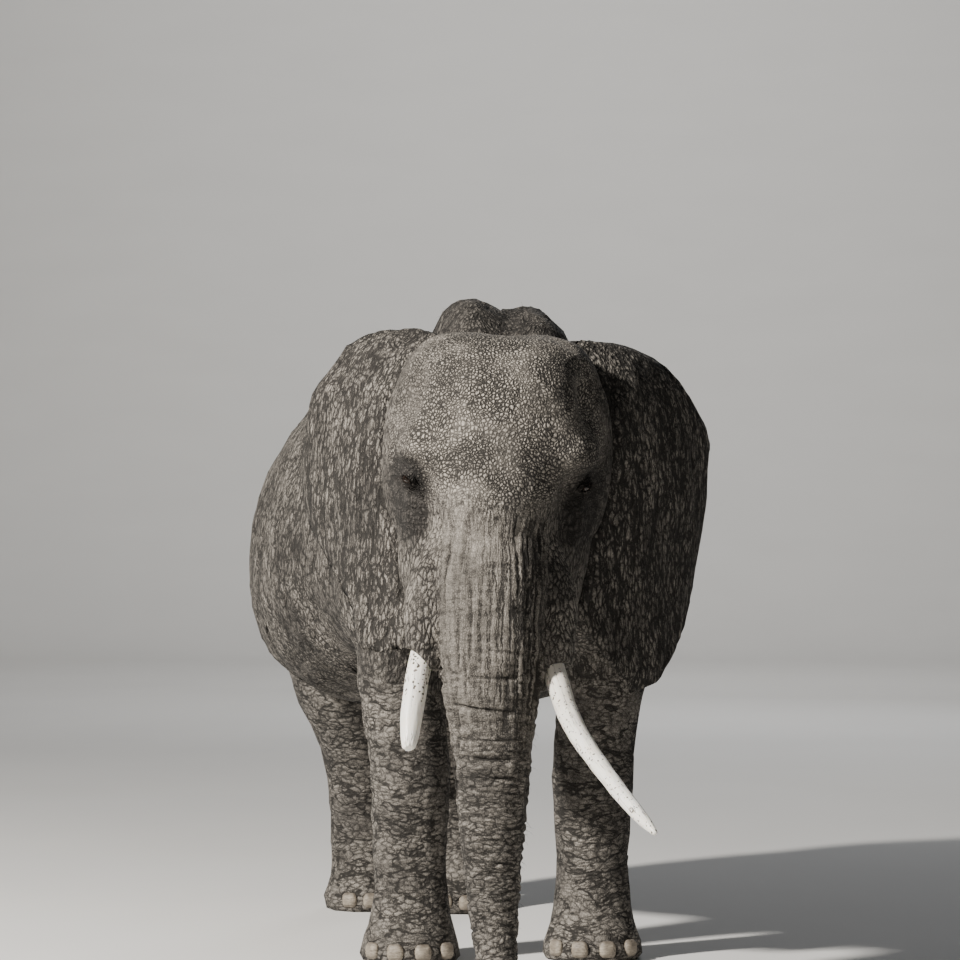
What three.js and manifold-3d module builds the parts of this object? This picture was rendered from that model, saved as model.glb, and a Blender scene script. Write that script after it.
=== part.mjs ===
// An African savanna elephant bull, standing, as a life-size display model with no joints.
// It faces -Y and +Z is up, so its left side is +X.
// The left tusk is long, and the right one is broken off short.
// The body is blended from rounded masses and from tables of cross-sections, and then parted by thin cuts.
import * as THREE from "three";
import Module from "manifold-3d";

const wasm = await Module();
wasm.setup();

// Driving dimensions.
const shoulderHeight = 3200; // millimetres, floor to the top of the shoulder blades
const bodyTurn = 12; // degrees that the rump stands off the line of the head, towards the right side
const headRoll = 2.5; // degrees that the chin swings towards the right side
const cm = shoulderHeight / 320; // every other size is in centimetres of a bull 3.2 m high
const gap = 0.05; // left between neighbouring pieces
const headOffset = -3; // of the head from the line of the shoulders
const headPivotHeight = 232; // the eyes' height, about which the head rolls
const bodyBendStart = -5; // just before the forelegs, where the body turns off the line of the head
const bodyBendLength = 30;

const { clamp, degToRad, lerp } = THREE.MathUtils;

// ---------------------------------------------------------------- curves and fields

// Reads a table at any value of its first column, by a smooth curve through its rows.
function smoothTable(rows) {
  const slope = (i, column) => {
    const before = rows[Math.max(i - 1, 0)];
    const after = rows[Math.min(i + 1, rows.length - 1)];
    return (after[column] - before[column]) / (after[0] - before[0]);
  };
  return (at) => {
    let i = 0;
    while (i < rows.length - 2 && at > rows[i + 1][0]) i++;
    const [low, high] = [rows[i], rows[i + 1]];
    const width = high[0] - low[0];
    const t = clamp((at - low[0]) / width, 0, 1);
    return low.slice(1).map((_, k) => {
      const column = k + 1;
      const rise = high[column] - low[column];
      const [a, b] = [slope(i, column) * width, slope(i + 1, column) * width];
      return low[column] + t * (a + t * (3 * rise - 2 * a - b + t * (a + b - 2 * rise)));
    });
  };
}

function smoothMin(a, b, blend) {
  const near = Math.max(blend - Math.abs(a - b), 0) / blend;
  return Math.min(a, b) - (near * near * blend) / 4;
}

// The distance from p to a mass, which is an egg, or a rounded block where its power is over 2.
function massDistance({ at, size, power = 2 }, p) {
  const d = p.map((value, i) => value - at[i]);
  const shares = d.map((value, i) => Math.abs(value / size[i]) ** power);
  const share = shares.reduce((a, b) => a + b) ** (1 / power);
  return share === 0 ? -Math.min(...size) : Math.hypot(...d) * (1 - 1 / share);
}

function blendMasses(start, masses, p) {
  return masses.reduce((distance, mass) => {
    const own = massDistance(mass, p);
    return mass.hollow
      ? -smoothMin(-distance, own, mass.blend)
      : smoothMin(distance, own, mass.blend);
  }, start);
}

const sides = [-1, 1];
const onSide = (side, [x, y, z]) => [side * x, y, z];
const bothSides = (mass) => sides.map((side) => ({ ...mass, at: onSide(side, mass.at) }));

// From 0 to 1 in steps that crowd towards both ends, or towards the middle where the crowding is negative.
const crowdedSteps = (count, crowding) =>
  Array.from({ length: count + 1 }, (_, i) => {
    const t = i / count;
    return i === count ? 1 : t - (crowding * Math.sin(2 * Math.PI * t)) / (2 * Math.PI);
  });

// Which way an end of a loft faces, and 0 between its ends.
const endSign = (t) => (t === 0 ? -1 : Number(t === 1));

// ---------------------------------------------------------------- poses

// A pose takes a point of a straight, level animal to its place in the standing one.
const asDrawn = (p) => p;

function headPose([x, y, z]) {
  const [c, s] = [Math.cos(degToRad(headRoll)), Math.sin(degToRad(headRoll))];
  const rise = z - headPivotHeight;
  return [headOffset + x * c + rise * s, y, headPivotHeight + rise * c - x * s];
}

function bodyPose([x, y, z]) {
  const fromBend = y - bodyBendStart;
  const length = Math.hypot(fromBend, bodyBendLength);
  const slope = Math.tan(degToRad(bodyTurn)) / 2;
  const turn = Math.atan(slope * (1 + fromBend / length));
  return [x * Math.cos(turn) - slope * (length + fromBend), y + x * Math.sin(turn), z];
}

// ---------------------------------------------------------------- solids

function solidFrom(points, faces, pose = asDrawn) {
  const vertProperties = new Float32Array(points.flatMap((p) => pose(p).map((value) => value * cm)));
  const build = (list) => {
    const triVerts = new Uint32Array(list.flat());
    return new wasm.Manifold(new wasm.Mesh({ numProp: 3, vertProperties, triVerts }));
  };
  const made = build(faces);
  return made.volume() < 0 ? build(faces.map(([a, b, c]) => [a, c, b])) : made;
}

const distanceBetween = (a, b) => Math.hypot(...a.map((value, i) => value - b[i]));

// A closed skin over rings of points, all with the same count, with a fan over each end.
function loft(rings, pose) {
  const around = rings[0].length;
  const points = rings.flat();
  const faces = [];
  for (let i = 0; i < rings.length - 1; i++)
    for (let j = 0; j < around; j++) {
      const [a, b] = [i * around + j, i * around + ((j + 1) % around)];
      const [c, d] = [a + around, b + around];
      const acrossIsShorter = distanceBetween(points[b], points[c]) < distanceBetween(points[a], points[d]);
      faces.push(...(acrossIsShorter ? [[a, b, c], [b, d, c]] : [[a, b, d], [a, d, c]]));
    }
  for (const [ring, start] of [[rings[0], 0], [rings.at(-1), points.length - around]]) {
    const centre = [0, 1, 2].map((k) => ring.reduce((sum, p) => sum + p[k], 0) / around);
    const tip = points.push(centre) - 1;
    for (let j = 0; j < around; j++) {
      const [a, b] = [start + j, start + ((j + 1) % around)];
      faces.push(start === 0 ? [b, a, tip] : [a, b, tip]);
    }
  }
  return solidFrom(points, faces, pose);
}

// A solid from a closed three.js shape, with its doubled corners joined.
function geometrySolid(geometry, pose) {
  const at = geometry.getAttribute("position");
  const keys = new Map();
  const points = [];
  const corner = Array.from({ length: at.count }, (_, i) => {
    const p = [at.getX(i), at.getY(i), at.getZ(i)].map((value) => Math.round(value * 1e4) / 1e4 + 0);
    const key = p.join();
    if (!keys.has(key)) keys.set(key, points.push(p) - 1);
    return keys.get(key);
  });
  const order = geometry.index ? Array.from(geometry.index.array, (i) => corner[i]) : corner;
  const faces = [];
  for (let i = 0; i < order.length; i += 3) {
    const face = order.slice(i, i + 3);
    if (new Set(face).size === 3) faces.push(face);
  }
  return solidFrom(points, faces, pose);
}

// An outline moved outwards by a distance, corner by corner.
function grownOutline(outline, distance) {
  const turn = Math.sign(THREE.ShapeUtils.area(outline.map(([x, y]) => ({ x, y }))));
  const outwards = ([x, y], [toX, toY]) => {
    const length = Math.hypot(toX - x, toY - y) * turn;
    return [(toY - y) / length, (x - toX) / length];
  };
  return outline.map((corner, i) => {
    const before = outwards(outline.at(i - 1), corner);
    const after = outwards(corner, outline[(i + 1) % outline.length]);
    const share = distance / (1 + before[0] * after[0] + before[1] * after[1]);
    return corner.map((value, k) => value + share * (before[k] + after[k]));
  });
}

const viewBases = {
  front: [new THREE.Vector3(1, 0, 0), new THREE.Vector3(0, 0, 1), new THREE.Vector3(0, -1, 0)],
  side: [new THREE.Vector3(0, 1, 0), new THREE.Vector3(0, 0, 1), new THREE.Vector3(1, 0, 0)],
};

// A cutting block and the same block grown by the gap. Its outline is drawn [x, z] from the front or [y, z]
// from the side, and it lies between two places along the line of sight.
function cutters(view, outline, [low, high], pose) {
  return [0, gap].map((grow) => {
    const corners = (grow ? grownOutline(outline, grow) : outline).map(([a, b]) => new THREE.Vector2(a, b));
    const depth = high - low + 2 * grow;
    const geometry = new THREE.ExtrudeGeometry(new THREE.Shape(corners), { depth, bevelEnabled: false });
    geometry.applyMatrix4(new THREE.Matrix4().makeBasis(...viewBases[view]));
    if (view === "front") geometry.translate(0, high + grow, 0);
    else geometry.translate(low - grow, 0, 0);
    return geometrySolid(geometry, pose);
  });
}

// A ring round a centre line: the place on it, its half width across X, its half depth, and its squareness.
function ringAcross(centre, tangent, halfWidth, halfDepth, power, around) {
  const depthway = new THREE.Vector3().crossVectors(tangent, new THREE.Vector3(1, 0, 0)).normalize();
  return Array.from({ length: around }, (_, j) => {
    const angle = (2 * Math.PI * j) / around;
    const [c, s] = [Math.cos(angle), Math.sin(angle)];
    const reach = (Math.abs(c) ** power + Math.abs(s) ** power) ** (-1 / power);
    return [
      centre.x + halfWidth * reach * c,
      centre.y + halfDepth * reach * s * depthway.y,
      centre.z + halfDepth * reach * s * depthway.z,
    ];
  });
}

// A tube along a smooth line through places, with [share of its length, half width, half depth] rows.
function tube(places, sizes, { steps, around, power = 2, pose, grow = 0, crowding = 0.6 }) {
  const line = new THREE.CatmullRomCurve3(places.map((p) => new THREE.Vector3(...p)));
  const sizeAt = smoothTable(sizes);
  const rings = crowdedSteps(steps, crowding).map((t) => {
    const [halfWidth, halfDepth] = sizeAt(t);
    const tangent = line.getTangentAt(t);
    const centre = line.getPointAt(t).addScaledVector(tangent, grow * endSign(t));
    return ringAcross(centre, tangent, halfWidth + grow, halfDepth + grow, power, around);
  });
  return loft(rings, pose);
}

// The ring in which a field's surface meets a plane, found from outside along rays from a centre.
function fieldRing(field, centre, across, up, { around, crowding = 0, reach, grow }) {
  return crowdedSteps(around, crowding).slice(1).map((turn) => {
    const angle = 2 * Math.PI * turn;
    const way = across.map((value, i) => value * Math.sin(angle) + up[i] * Math.cos(angle));
    const at = (r) => centre.map((value, i) => value + r * way[i]);
    const stride = 1.5;
    let outside = reach;
    while (outside > stride && field(at(outside - stride)) > 0) outside -= stride;
    let inside = Math.max(outside - stride, 0);
    for (let i = 0; i < 14; i++) {
      const middle = (inside + outside) / 2;
      if (field(at(middle)) > 0) outside = middle;
      else inside = middle;
    }
    return at(outside + grow);
  });
}

// ---------------------------------------------------------------- torso and neck

// [from the forelegs back, height of the top, of the bottom, half width, height of the widest place]
const torsoSections = smoothTable([
  [-108, 280, 196, 33, 235],
  [-80, 284, 180, 40, 228],
  [-50, 291, 163, 48, 222],
  [-20, 303, 150, 60, 215],
  [10, 311, 143, 71, 208],
  [50, 309, 134, 86, 199],
  [95, 304, 122, 98, 193],
  [135, 301, 114, 100.5, 191],
  [172, 304, 119, 93, 192],
  [205, 306, 135, 75, 198],
  [236, 296, 158, 57, 206],
  [260, 274, 184, 39, 216],
  [277, 246, 210, 16, 226],
]);

const torsoMasses = [
  ...bothSides({ at: [47, 2, 186], size: [25, 37, 58], blend: 22 }), // shoulder and upper arm
  ...bothSides({ at: [38, -34, 196], size: [14, 22, 40], blend: 18 }), // front edge of the shoulder
  ...bothSides({ at: [36, 210, 192], size: [33, 42, 54], blend: 24 }), // flank
  ...bothSides({ at: [26, 196, 274], size: [22, 30, 22], blend: 24 }), // point of the hip
  { at: [0, 150, 292], size: [7, 90, 15], blend: 14 }, // ridge of the back
];

// Rounded masses with a crease between each pair: the tops of the shoulder blades, and the thighs.
const eggs = [
  { at: [-9.5, 12, 280.5], size: [22.5, 58, 42] },
  { at: [16, 14, 278], size: [26, 58, 41] },
  { at: [-34, 225, 180], size: [34, 47, 78] },
  { at: [34, 214, 180], size: [34, 47, 78] },
];

function torsoField([x, y, z]) {
  const [top, bottom, halfWidth, widest] = torsoSections(y);
  const upward = z - widest;
  const halfHeight = upward > 0 ? top - widest : widest - bottom;
  const power = upward > 0 ? 1.9 : 2.7;
  const shares = [x / halfWidth, upward / halfHeight].map((value) => Math.abs(value) ** power);
  const share = (shares[0] + shares[1]) ** (1 / power);
  const radius = Math.hypot(x, upward);
  return blendMasses(radius * (1 - 1 / Math.max(share, 1e-6)), torsoMasses, [x, y, z]);
}

function makeTorso(grow = 0) {
  const [front, back] = [-94, 277];
  const rings = crowdedSteps(18, 0.25).map((t) => {
    const y = lerp(front, back, t) + grow * endSign(t);
    const [, , , widest] = torsoSections(y);
    return fieldRing(torsoField, [0, y, widest], [1, 0, 0], [0, 0, 1], { around: 20, reach: 170, grow });
  });
  return eggs.reduce((solid, { at, size }) => {
    const egg = new THREE.SphereGeometry(1, 12, 7).scale(...size.map((value) => value + grow));
    return solid.add(geometrySolid(egg.translate(...at), bodyPose));
  }, loft(rings, bodyPose));
}

// ---------------------------------------------------------------- head

// A bulging sheath of skin over the root of each tusk runs down from the cheekbone.
const sheathLine = [[13, -128, 222], [17.5, -136, 203], [26, -145, 181], [30.3, -155, 156]];
const sheathSizes = [[0, 12, 11], [0.3, 14, 12], [0.65, 12.6, 11.6], [0.9, 9, 9], [1, 7.4, 7.4]];
const jawLine = [[0, -80, 190], [0, -104, 180], [0, -121, 164], [0, -131, 148]];
const jawSizes = [[0, 27, 22], [0.4, 20, 16], [0.75, 11, 9], [1, 5.5, 4]];

const headMasses = [
  { at: [0, -104, 254], size: [46, 50, 46], power: 2.5, blend: 1 }, // cranium
  ...bothSides({ at: [24, -96, 270], size: [21, 36, 30], power: 2.5, blend: 6 }), // corner of the crown
  { at: [0, -128, 250], size: [34, 26, 34], blend: 16 }, // forehead
  { at: [0, -138, 212], size: [26, 28, 46], power: 2.2, blend: 16 }, // root of the trunk
  ...bothSides({ at: [32, -132, 246], size: [14, 17, 11], blend: 9 }), // brow ridge
  ...bothSides({ at: [26, -126, 226], size: [13, 18, 20], blend: 8 }), // rim of the eye socket
  ...bothSides({ at: [29, -106, 204], size: [15, 28, 38], blend: 16 }), // cheek
  { at: [0, -92, 192], size: [25, 30, 28], blend: 16 }, // throat
  ...bothSides({ at: [43, -95, 244], size: [10, 19, 37], blend: 8 }), // root of the ear
  ...bothSides({ at: [49, -128, 272], size: [13, 17, 15], blend: 10, hollow: true }), // temple
  ...bothSides({ at: [35, -147, 210], size: [10, 14, 25], blend: 6, hollow: true }), // hollow under the eye
];

const headField = (p) => blendMasses(Infinity, headMasses, p);

// The middle of each level section, [height, from the forelegs], moves forward down the face.
const headAxis = smoothTable([
  [176, -122],
  [190, -119],
  [215, -112],
  [240, -106],
  [300, -104],
]);

function makeHead(grow = 0) {
  const [bottom, top] = [176, 299.6];
  const rings = crowdedSteps(16, -0.2).map((t) => {
    const level = lerp(bottom, top, t);
    const [middle] = headAxis(level);
    const across = { around: 28, crowding: 0.4, reach: 80, grow };
    const ring = fieldRing(headField, [0, middle, level], [1, 0, 0], [0, -1, 0], across);
    return ring.map(([x, y, z]) => [x, y, z + grow * endSign(t)]);
  });
  const sheaths = [-1, 1].map((side) => {
    const line = sheathLine.map(([x, y, z]) => [side * x, y, z]);
    return tube(line, sheathSizes, { steps: 5, around: 10, pose: headPose, grow, crowding: 0.4 });
  });
  const jaw = tube(jawLine, jawSizes, { steps: 5, around: 10, pose: headPose, grow, crowding: 0.4 });
  return [...sheaths, jaw].reduce((a, b) => a.add(b), loft(rings, headPose));
}

// ---------------------------------------------------------------- trunk, tail and tusks

const trunkLine = [
  [0, -138, 222],
  [0, -150, 195],
  [0.5, -156, 168],
  [1.5, -158, 140],
  [3.2, -159, 110],
  [4.6, -158, 80],
  [6, -157, 52],
  [8, -160, 30],
  [10, -170, 14],
  [12, -183, 11],
];

function makeTrunk() {
  const sizes = [
    [0, 20, 16],
    [0.1, 25.5, 20],
    [0.24, 24.6, 20.6],
    [0.36, 22.4, 19.8],
    [0.46, 19.2, 18],
    [0.55, 16.8, 16.2],
    [0.66, 14.6, 14.2],
    [0.77, 12.3, 12],
    [0.88, 9.8, 9.2],
    [0.96, 8.6, 7.4],
    [0.99, 8, 6.4],
    [1, 5.5, 4],
  ];
  const whole = tube(trunkLine, sizes, { steps: 16, around: 12, power: 2.25, pose: headPose });
  const nostrils = [-1, 1].map((side) => {
    const hole = new THREE.SphereGeometry(1, 6, 4).scale(1.9, 5, 2.2).translate(12 + side * 3, -185, 11.2);
    return geometrySolid(hole, headPose);
  });
  return whole.subtract(nostrils[0]).subtract(nostrils[1]);
}

function makeTail() {
  const line = [[0, 264, 248], [0, 278, 238], [0, 286, 215], [0, 286, 184], [1, 283, 152], [2, 281, 124]];
  const sizes = [[0, 12, 11], [0.12, 9, 8], [0.3, 5.6, 5], [0.6, 3.6, 3.2], [0.9, 2.7, 2.5], [1, 2.2, 2]];
  return tube(line, sizes, { steps: 8, around: 8, pose: bodyPose });
}

// The fringe of long hair at the end of the tail, as one flat closed blade.
function makeTailTuft() {
  const line = [[2, 281, 123.7], [2.5, 280, 108], [3, 280, 92], [3, 281, 76]];
  const sizes = [[0, 2.1, 1.9], [0.2, 4.2, 7.5], [0.5, 4.4, 9], [0.8, 3, 6], [1, 0.8, 1.4]];
  return tube(line, sizes, { steps: 5, around: 8, pose: bodyPose });
}

const tuskRadius = 5.6;
const longTusk = {
  line: [
    [20, -140, 178],
    [28.8, -155, 151],
    [36, -176, 130.5],
    [49.7, -214, 111.5],
    [66, -255, 94],
    [72.8, -268, 87.5],
  ],
  sizes: [
    [0, 1, 1],
    [0.25, 0.96, 0.96],
    [0.5, 0.82, 0.82],
    [0.78, 0.66, 0.66],
    [0.93, 0.54, 0.54],
    [0.985, 0.4, 0.4],
    [1, 0.2, 0.2],
  ],
  steps: 12,
};
const brokenTusk = {
  line: [[-25, -136, 178], [-31, -154, 150], [-33.4, -166, 130], [-34, -177, 112.5]],
  sizes: [[0, 1, 1], [0.5, 0.98, 0.98], [0.8, 0.9, 0.9], [0.96, 0.82, 0.82], [1, 0.6, 0.6]],
  steps: 5,
};

const makeTusk = ({ line, sizes, steps }, grow = 0) =>
  tube(line, sizes.map(([at, ...half]) => [at, ...half.map((share) => share * tuskRadius)]), {
    steps, around: 10, pose: headPose, grow, crowding: 0.2,
  });

// ---------------------------------------------------------------- ears

// The ear's root on the side of the head: [height over the eye, out from the middle, from the forelegs]
const earWidth = 104;
const earRoot = smoothTable([
  [-110, 44, -102],
  [-40, 42, -100],
  [0, 43, -98],
  [40, 38, -92],
  [75, 29, -80],
]);

// Outline rows are [degrees round from level at the back of the ear, reach from the middle of its root].
const leftEar = {
  side: 1,
  flare: 60, // degrees that it stands off the head at its root, and then near its rim
  trail: 12,
  notch: 5, // depth of the tear in its rear rim
  extra: [8, 9.5], // spokes at the tear
  outline: smoothTable([
    [-98, 50], [-86, 77], [-75, 105], [-64, 107], [-52, 105], [-40, 107], [-28, 108.5], [-14, 109],
    [4, 104], [10, 107.5], [16, 104], [27, 93], [38, 89.5], [50, 82], [61, 75], [72, 70], [84, 66],
    [95, 64],
  ]),
};
const rightEar = {
  side: -1,
  flare: 51,
  trail: 9,
  notch: 0,
  extra: [],
  outline: smoothTable([
    [-98, 84], [-87, 86], [-75, 88.5], [-64, 73], [-53, 71.5], [-41, 75], [-30, 81], [-18, 95], [-7, 97],
    [4, 96], [16, 92], [27, 90.5], [38, 96.5], [50, 87], [61, 78], [72, 72], [84, 67], [95, 64.5],
  ]),
};

function earPoint(ear, degrees, share, face) {
  const angle = degToRad(degrees);
  const torn = ear.notch * (1 - clamp((degrees - 8) / 1.5, 0, 1)) * clamp((degrees + 16) / 14, 0, 1);
  const [outline] = ear.outline(degrees);
  const reach = (outline - torn) * share;
  const back = reach * Math.cos(angle) - 9 * (1 - share);
  const up = reach * Math.sin(angle);
  const [rootOut, rootBack] = earRoot(up);
  const [flare, trail] = [degToRad(ear.flare), degToRad(ear.trail)];
  const bend = (trail - flare) / earWidth;
  const heading = flare + bend * back;
  const out = (Math.cos(flare) - Math.cos(heading)) / bend;
  const rearward = (Math.sin(heading) - Math.sin(flare)) / bend;
  const wave = 2.2 * Math.sin(degToRad(degrees * 4 + 30)) * share ** 3;
  const curl = 9 * Math.max(Math.sin(angle), 0) ** 3 * share ** 6;
  const half = lerp(2.6, 1, share ** 0.7) * (share === 1 ? 0 : face);
  const [sideways, backways] = [Math.cos(heading), -Math.sin(heading)];
  return [
    ear.side * (rootOut + out + (wave - curl + half) * sideways),
    rootBack + rearward + (wave - curl + half) * backways + curl * 0.4,
    headPivotHeight + 4 + up,
  ];
}

function makeEar(ear) {
  const shares = [0.06, 0.4, 0.73, 0.94];
  const evenly = Array.from({ length: 18 }, (_, i) => lerp(-98, 95, i / 17));
  const spokes = [...evenly, ...ear.extra].sort((a, b) => a - b);
  const lines = spokes.length - 1;
  const points = [];
  const faces = [];
  const place = (degrees, share, face) => points.push(earPoint(ear, degrees, share, face)) - 1;
  const rim = [];
  const sheets = [[], []];
  for (let i = 0; i <= lines; i++) {
    const degrees = spokes[i];
    rim.push(place(degrees, 1, 0));
    [-1, 1].forEach((face, k) => sheets[k].push(shares.map((share) => place(degrees, share, face))));
  }
  sheets.forEach((sheet, k) => {
    const add = (a, b, c) => faces.push(k ? [a, b, c] : [a, c, b]);
    for (let i = 0; i < lines; i++) {
      for (let j = 0; j < shares.length - 1; j++) {
        add(sheet[i][j], sheet[i + 1][j], sheet[i + 1][j + 1]);
        add(sheet[i][j], sheet[i + 1][j + 1], sheet[i][j + 1]);
      }
      add(sheet[i].at(-1), sheet[i + 1].at(-1), rim[i + 1]);
      add(sheet[i].at(-1), rim[i + 1], rim[i]);
    }
  });
  // The root and both short ends are closed with strips from one face to the other.
  const [inner, outer] = sheets;
  const strip = (a, b, c, d) => faces.push([a, b, c], [a, c, d]);
  for (let i = 0; i < lines; i++) strip(inner[i][0], inner[i + 1][0], outer[i + 1][0], outer[i][0]);
  for (const [i, turned] of [[0, false], [lines, true]]) {
    for (let j = 0; j < shares.length - 1; j++) {
      const quad = [inner[i][j], outer[i][j], outer[i][j + 1], inner[i][j + 1]];
      strip(...(turned ? quad.reverse() : quad));
    }
    const end = [inner[i].at(-1), outer[i].at(-1), rim[i]];
    faces.push(turned ? end.reverse() : end);
  }
  return solidFrom(points, faces, headPose);
}

// ---------------------------------------------------------------- legs

// Rows of [height, outward, back, half width, half depth], from the flat sole up into the body.
const foreleg = {
  pose: asDrawn,
  foot: [44.5, 0],
  rows: [
    [0, 0, -3, 22.4, 24],
    [2, 0, -3, 23.8, 25.6],
    [7, 0, -3, 23.6, 25.4],
    [15, 0, -2, 21, 22.4],
    [26, 0, 0, 18.6, 19.8],
    [45, 0, 1, 17.6, 18.8],
    [66, 0, 0, 18.2, 20],
    [84, 0, -1, 19.2, 21.4],
    [102, 1, 0, 19.4, 21.8],
    [124, 3.4, 2, 20.6, 25.5],
    [144, 4, 4, 23, 31],
    [168, 2, 4, 24, 34],
    [196, 0, 4, 20, 30],
  ],
};
const hindleg = {
  pose: bodyPose,
  foot: [24, 226],
  rows: [
    [0, 0, -2, 19, 22.4],
    [2, 0, -2, 20.4, 24],
    [7, 0, -2, 20.2, 23.8],
    [15, 0, -1, 18, 20.8],
    [26, 0, 2, 16.4, 18.8],
    [45, 0, 7, 16, 18.4],
    [62, 0.5, 9, 16.8, 20.4],
    [80, 1.5, 6, 18.8, 23.4],
    [98, 4.5, -2, 23, 29],
    [118, 9.5, -8, 28.5, 36],
    [145, 13, -7, 30.5, 38],
    [172, 8, -6, 24, 33],
    [196, 4, -8, 15, 22],
  ],
};
// How far back each foot stands from its leg's own place.
const stride = { rightFore: -7, leftFore: 6, rightHind: 10, leftHind: -12 };

function makeLeg({ shape, side, step }) {
  const { foot, rows } = shape;
  const table = smoothTable(rows);
  const rings = rows.flatMap(([z], i) => (i < 8 ? [z] : [lerp(rows[i - 1][0], z, 0.5), z])).map((z) => {
    const [outward, back, halfWidth, halfDepth] = table(z);
    const swing = step * (1 - clamp(z / 170, 0, 1) ** 1.4);
    const centre = new THREE.Vector3(side * (foot[0] + outward), foot[1] + back + swing, z);
    return ringAcross(centre, new THREE.Vector3(0, 0, 1), halfWidth, halfDepth, 2.2, 12);
  });
  return loft(rings, shape.pose);
}

// The cuts rise outwards over the elbow, and back over the thigh.
const forelegCut = (side) => {
  const outline = [[9, -5], [76, -5], [76, 146], [26, 130], [9, 130]];
  return cutters("front", outline.map(([x, z]) => [side * x, z]), [-60, 46]);
};
const hindlegCut = (side) => {
  const outline = [[120, -5], [330, -5], [330, 216], [232, 150], [178, 117], [120, 90]];
  const [near, far] = [side * 3, side * 130];
  return cutters("side", outline, [Math.min(near, far), Math.max(near, far)], bodyPose);
};

const legs = [
  { name: "right_fore", shape: foreleg, side: -1, step: stride.rightFore, nails: 4, cut: forelegCut(-1) },
  { name: "left_fore", shape: foreleg, side: 1, step: stride.leftFore, nails: 4, cut: forelegCut(1) },
  { name: "right_hind", shape: hindleg, side: -1, step: stride.rightHind, nails: 3, cut: hindlegCut(-1) },
  { name: "left_hind", shape: hindleg, side: 1, step: stride.leftHind, nails: 3, cut: hindlegCut(1) },
];

// The toenails stand round the front rim of a foot, at so many degrees apart.
const nail = { width: 5, depth: 2.6, height: 5, rise: 1.4, spacing: 33 };

function makeNail({ shape, side, step, nails }, index, grow = 0) {
  const { foot, rows, pose } = shape;
  const [, outward, back, halfWidth, halfDepth] = rows[2];
  const angle = degToRad((index - (nails - 1) / 2) * nail.spacing);
  const size = [nail.width + grow, nail.depth + grow, nail.height + grow];
  const x = side * (foot[0] + outward) + Math.sin(angle) * halfWidth;
  const y = foot[1] + back + step - Math.cos(angle) * halfDepth;
  const shell = new THREE.SphereGeometry(1, 6, 4).scale(...size).rotateZ(angle);
  return geometrySolid(shell.translate(x, y, nail.height + nail.rise), pose);
}

// ---------------------------------------------------------------- eyes

const eye = { radius: 2.3, out: 40.6, back: -131.5, height: 232 };

const makeEye = (side, grow = 0) =>
  geometrySolid(
    new THREE.SphereGeometry(eye.radius + grow, 8, 5).translate(side * eye.out, eye.back, eye.height),
    headPose,
  );

// ---------------------------------------------------------------- the whole, and its parting

const finishes = {
  skin: { color: 0x6f6a64, roughness: 0.9 },
  ivory: { color: 0xe6dfcf, roughness: 0.45 },
  nail: { color: 0xa39a8c, roughness: 0.7 },
  eye: { color: 0x2a1d14, roughness: 0.15 },
  hair: { color: 0x1c1a19, roughness: 0.8 },
};

const elephant = new THREE.Group();

function addNode(name, solid, finish) {
  const mesh = solid.getMesh();
  const geometry = new THREE.BufferGeometry()
    .setAttribute("position", new THREE.BufferAttribute(new Float32Array(mesh.vertProperties), 3))
    .setIndex(new THREE.BufferAttribute(new Uint32Array(mesh.triVerts), 1));
  geometry.computeVertexNormals();
  const material = new THREE.MeshStandardMaterial({ metalness: 0, ...finishes[finish] });
  const node = new THREE.Mesh(geometry, material);
  node.name = name;
  elephant.add(node);
}

// The largest body of a solid, without the crumbs that a cut leaves.
const mainBody = (solid) => solid.decompose().reduce((a, b) => (a.volume() > b.volume() ? a : b));

// Takes what lies in a cutter out of a solid: [what was taken, what is left].
const partBy = (solid, [cutter, grownCutter]) => [
  mainBody(solid.intersect(cutter)),
  mainBody(solid.subtract(grownCutter)),
];

const tuskPlans = [longTusk, brokenTusk];
const fleshGrown = makeTorso(gap).add(makeHead(gap));

let body = makeTorso().add(makeHead()).add(makeTrunk());
for (const leg of legs) body = body.add(makeLeg(leg));
for (const plan of tuskPlans) body = body.subtract(makeTusk(plan, gap));
for (const side of sides) body = body.subtract(makeEye(side, gap));

const pieces = {};
function part(name, from, cut) {
  [pieces[name], pieces[from]] = partBy(pieces[from], cut);
}

pieces.torso = body;
for (const leg of legs) part(leg.name + "_leg", "torso", leg.cut);

// The head parts from the neck behind the jaw, and the neck from the torso in front of the shoulders.
part("head", "torso", cutters("side", [[-300, -5], [-76, -5], [-76, 400], [-300, 400]], [-95, 95]));
part("neck", "torso", cutters("side", [[-90, 120], [-22, 120], [-48, 400], [-90, 400]], [-95, 95]));

// The trunk leaves the head between the tusk sockets, and the jaw leaves it behind the trunk.
const trunkOutline = [[28, 209], [26, 190], [22.2, 160], [21.5, 147], [60, 146], [60, -5]];
const mirrored = trunkOutline.toReversed().map(([x, z]) => [-x, z]);
const belowHeight = (height) => [[-250, -5], [-100, -5], [-100, height], [-250, height]];
part("trunk_upper", "head", cutters("front", [...trunkOutline, ...mirrored], [-250, -140.5], headPose));
part("trunk_middle", "trunk_upper", cutters("side", belowHeight(126), [-60, 60]));
part("trunk_tip", "trunk_middle", cutters("side", belowHeight(64), [-60, 60]));
const jawOutline = [[-139.5, 100], [-60, 100], [-86, 168], [-139.5, 160]];
part("lower_jaw", "head", cutters("side", jawOutline, [-60, 60]));

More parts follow.
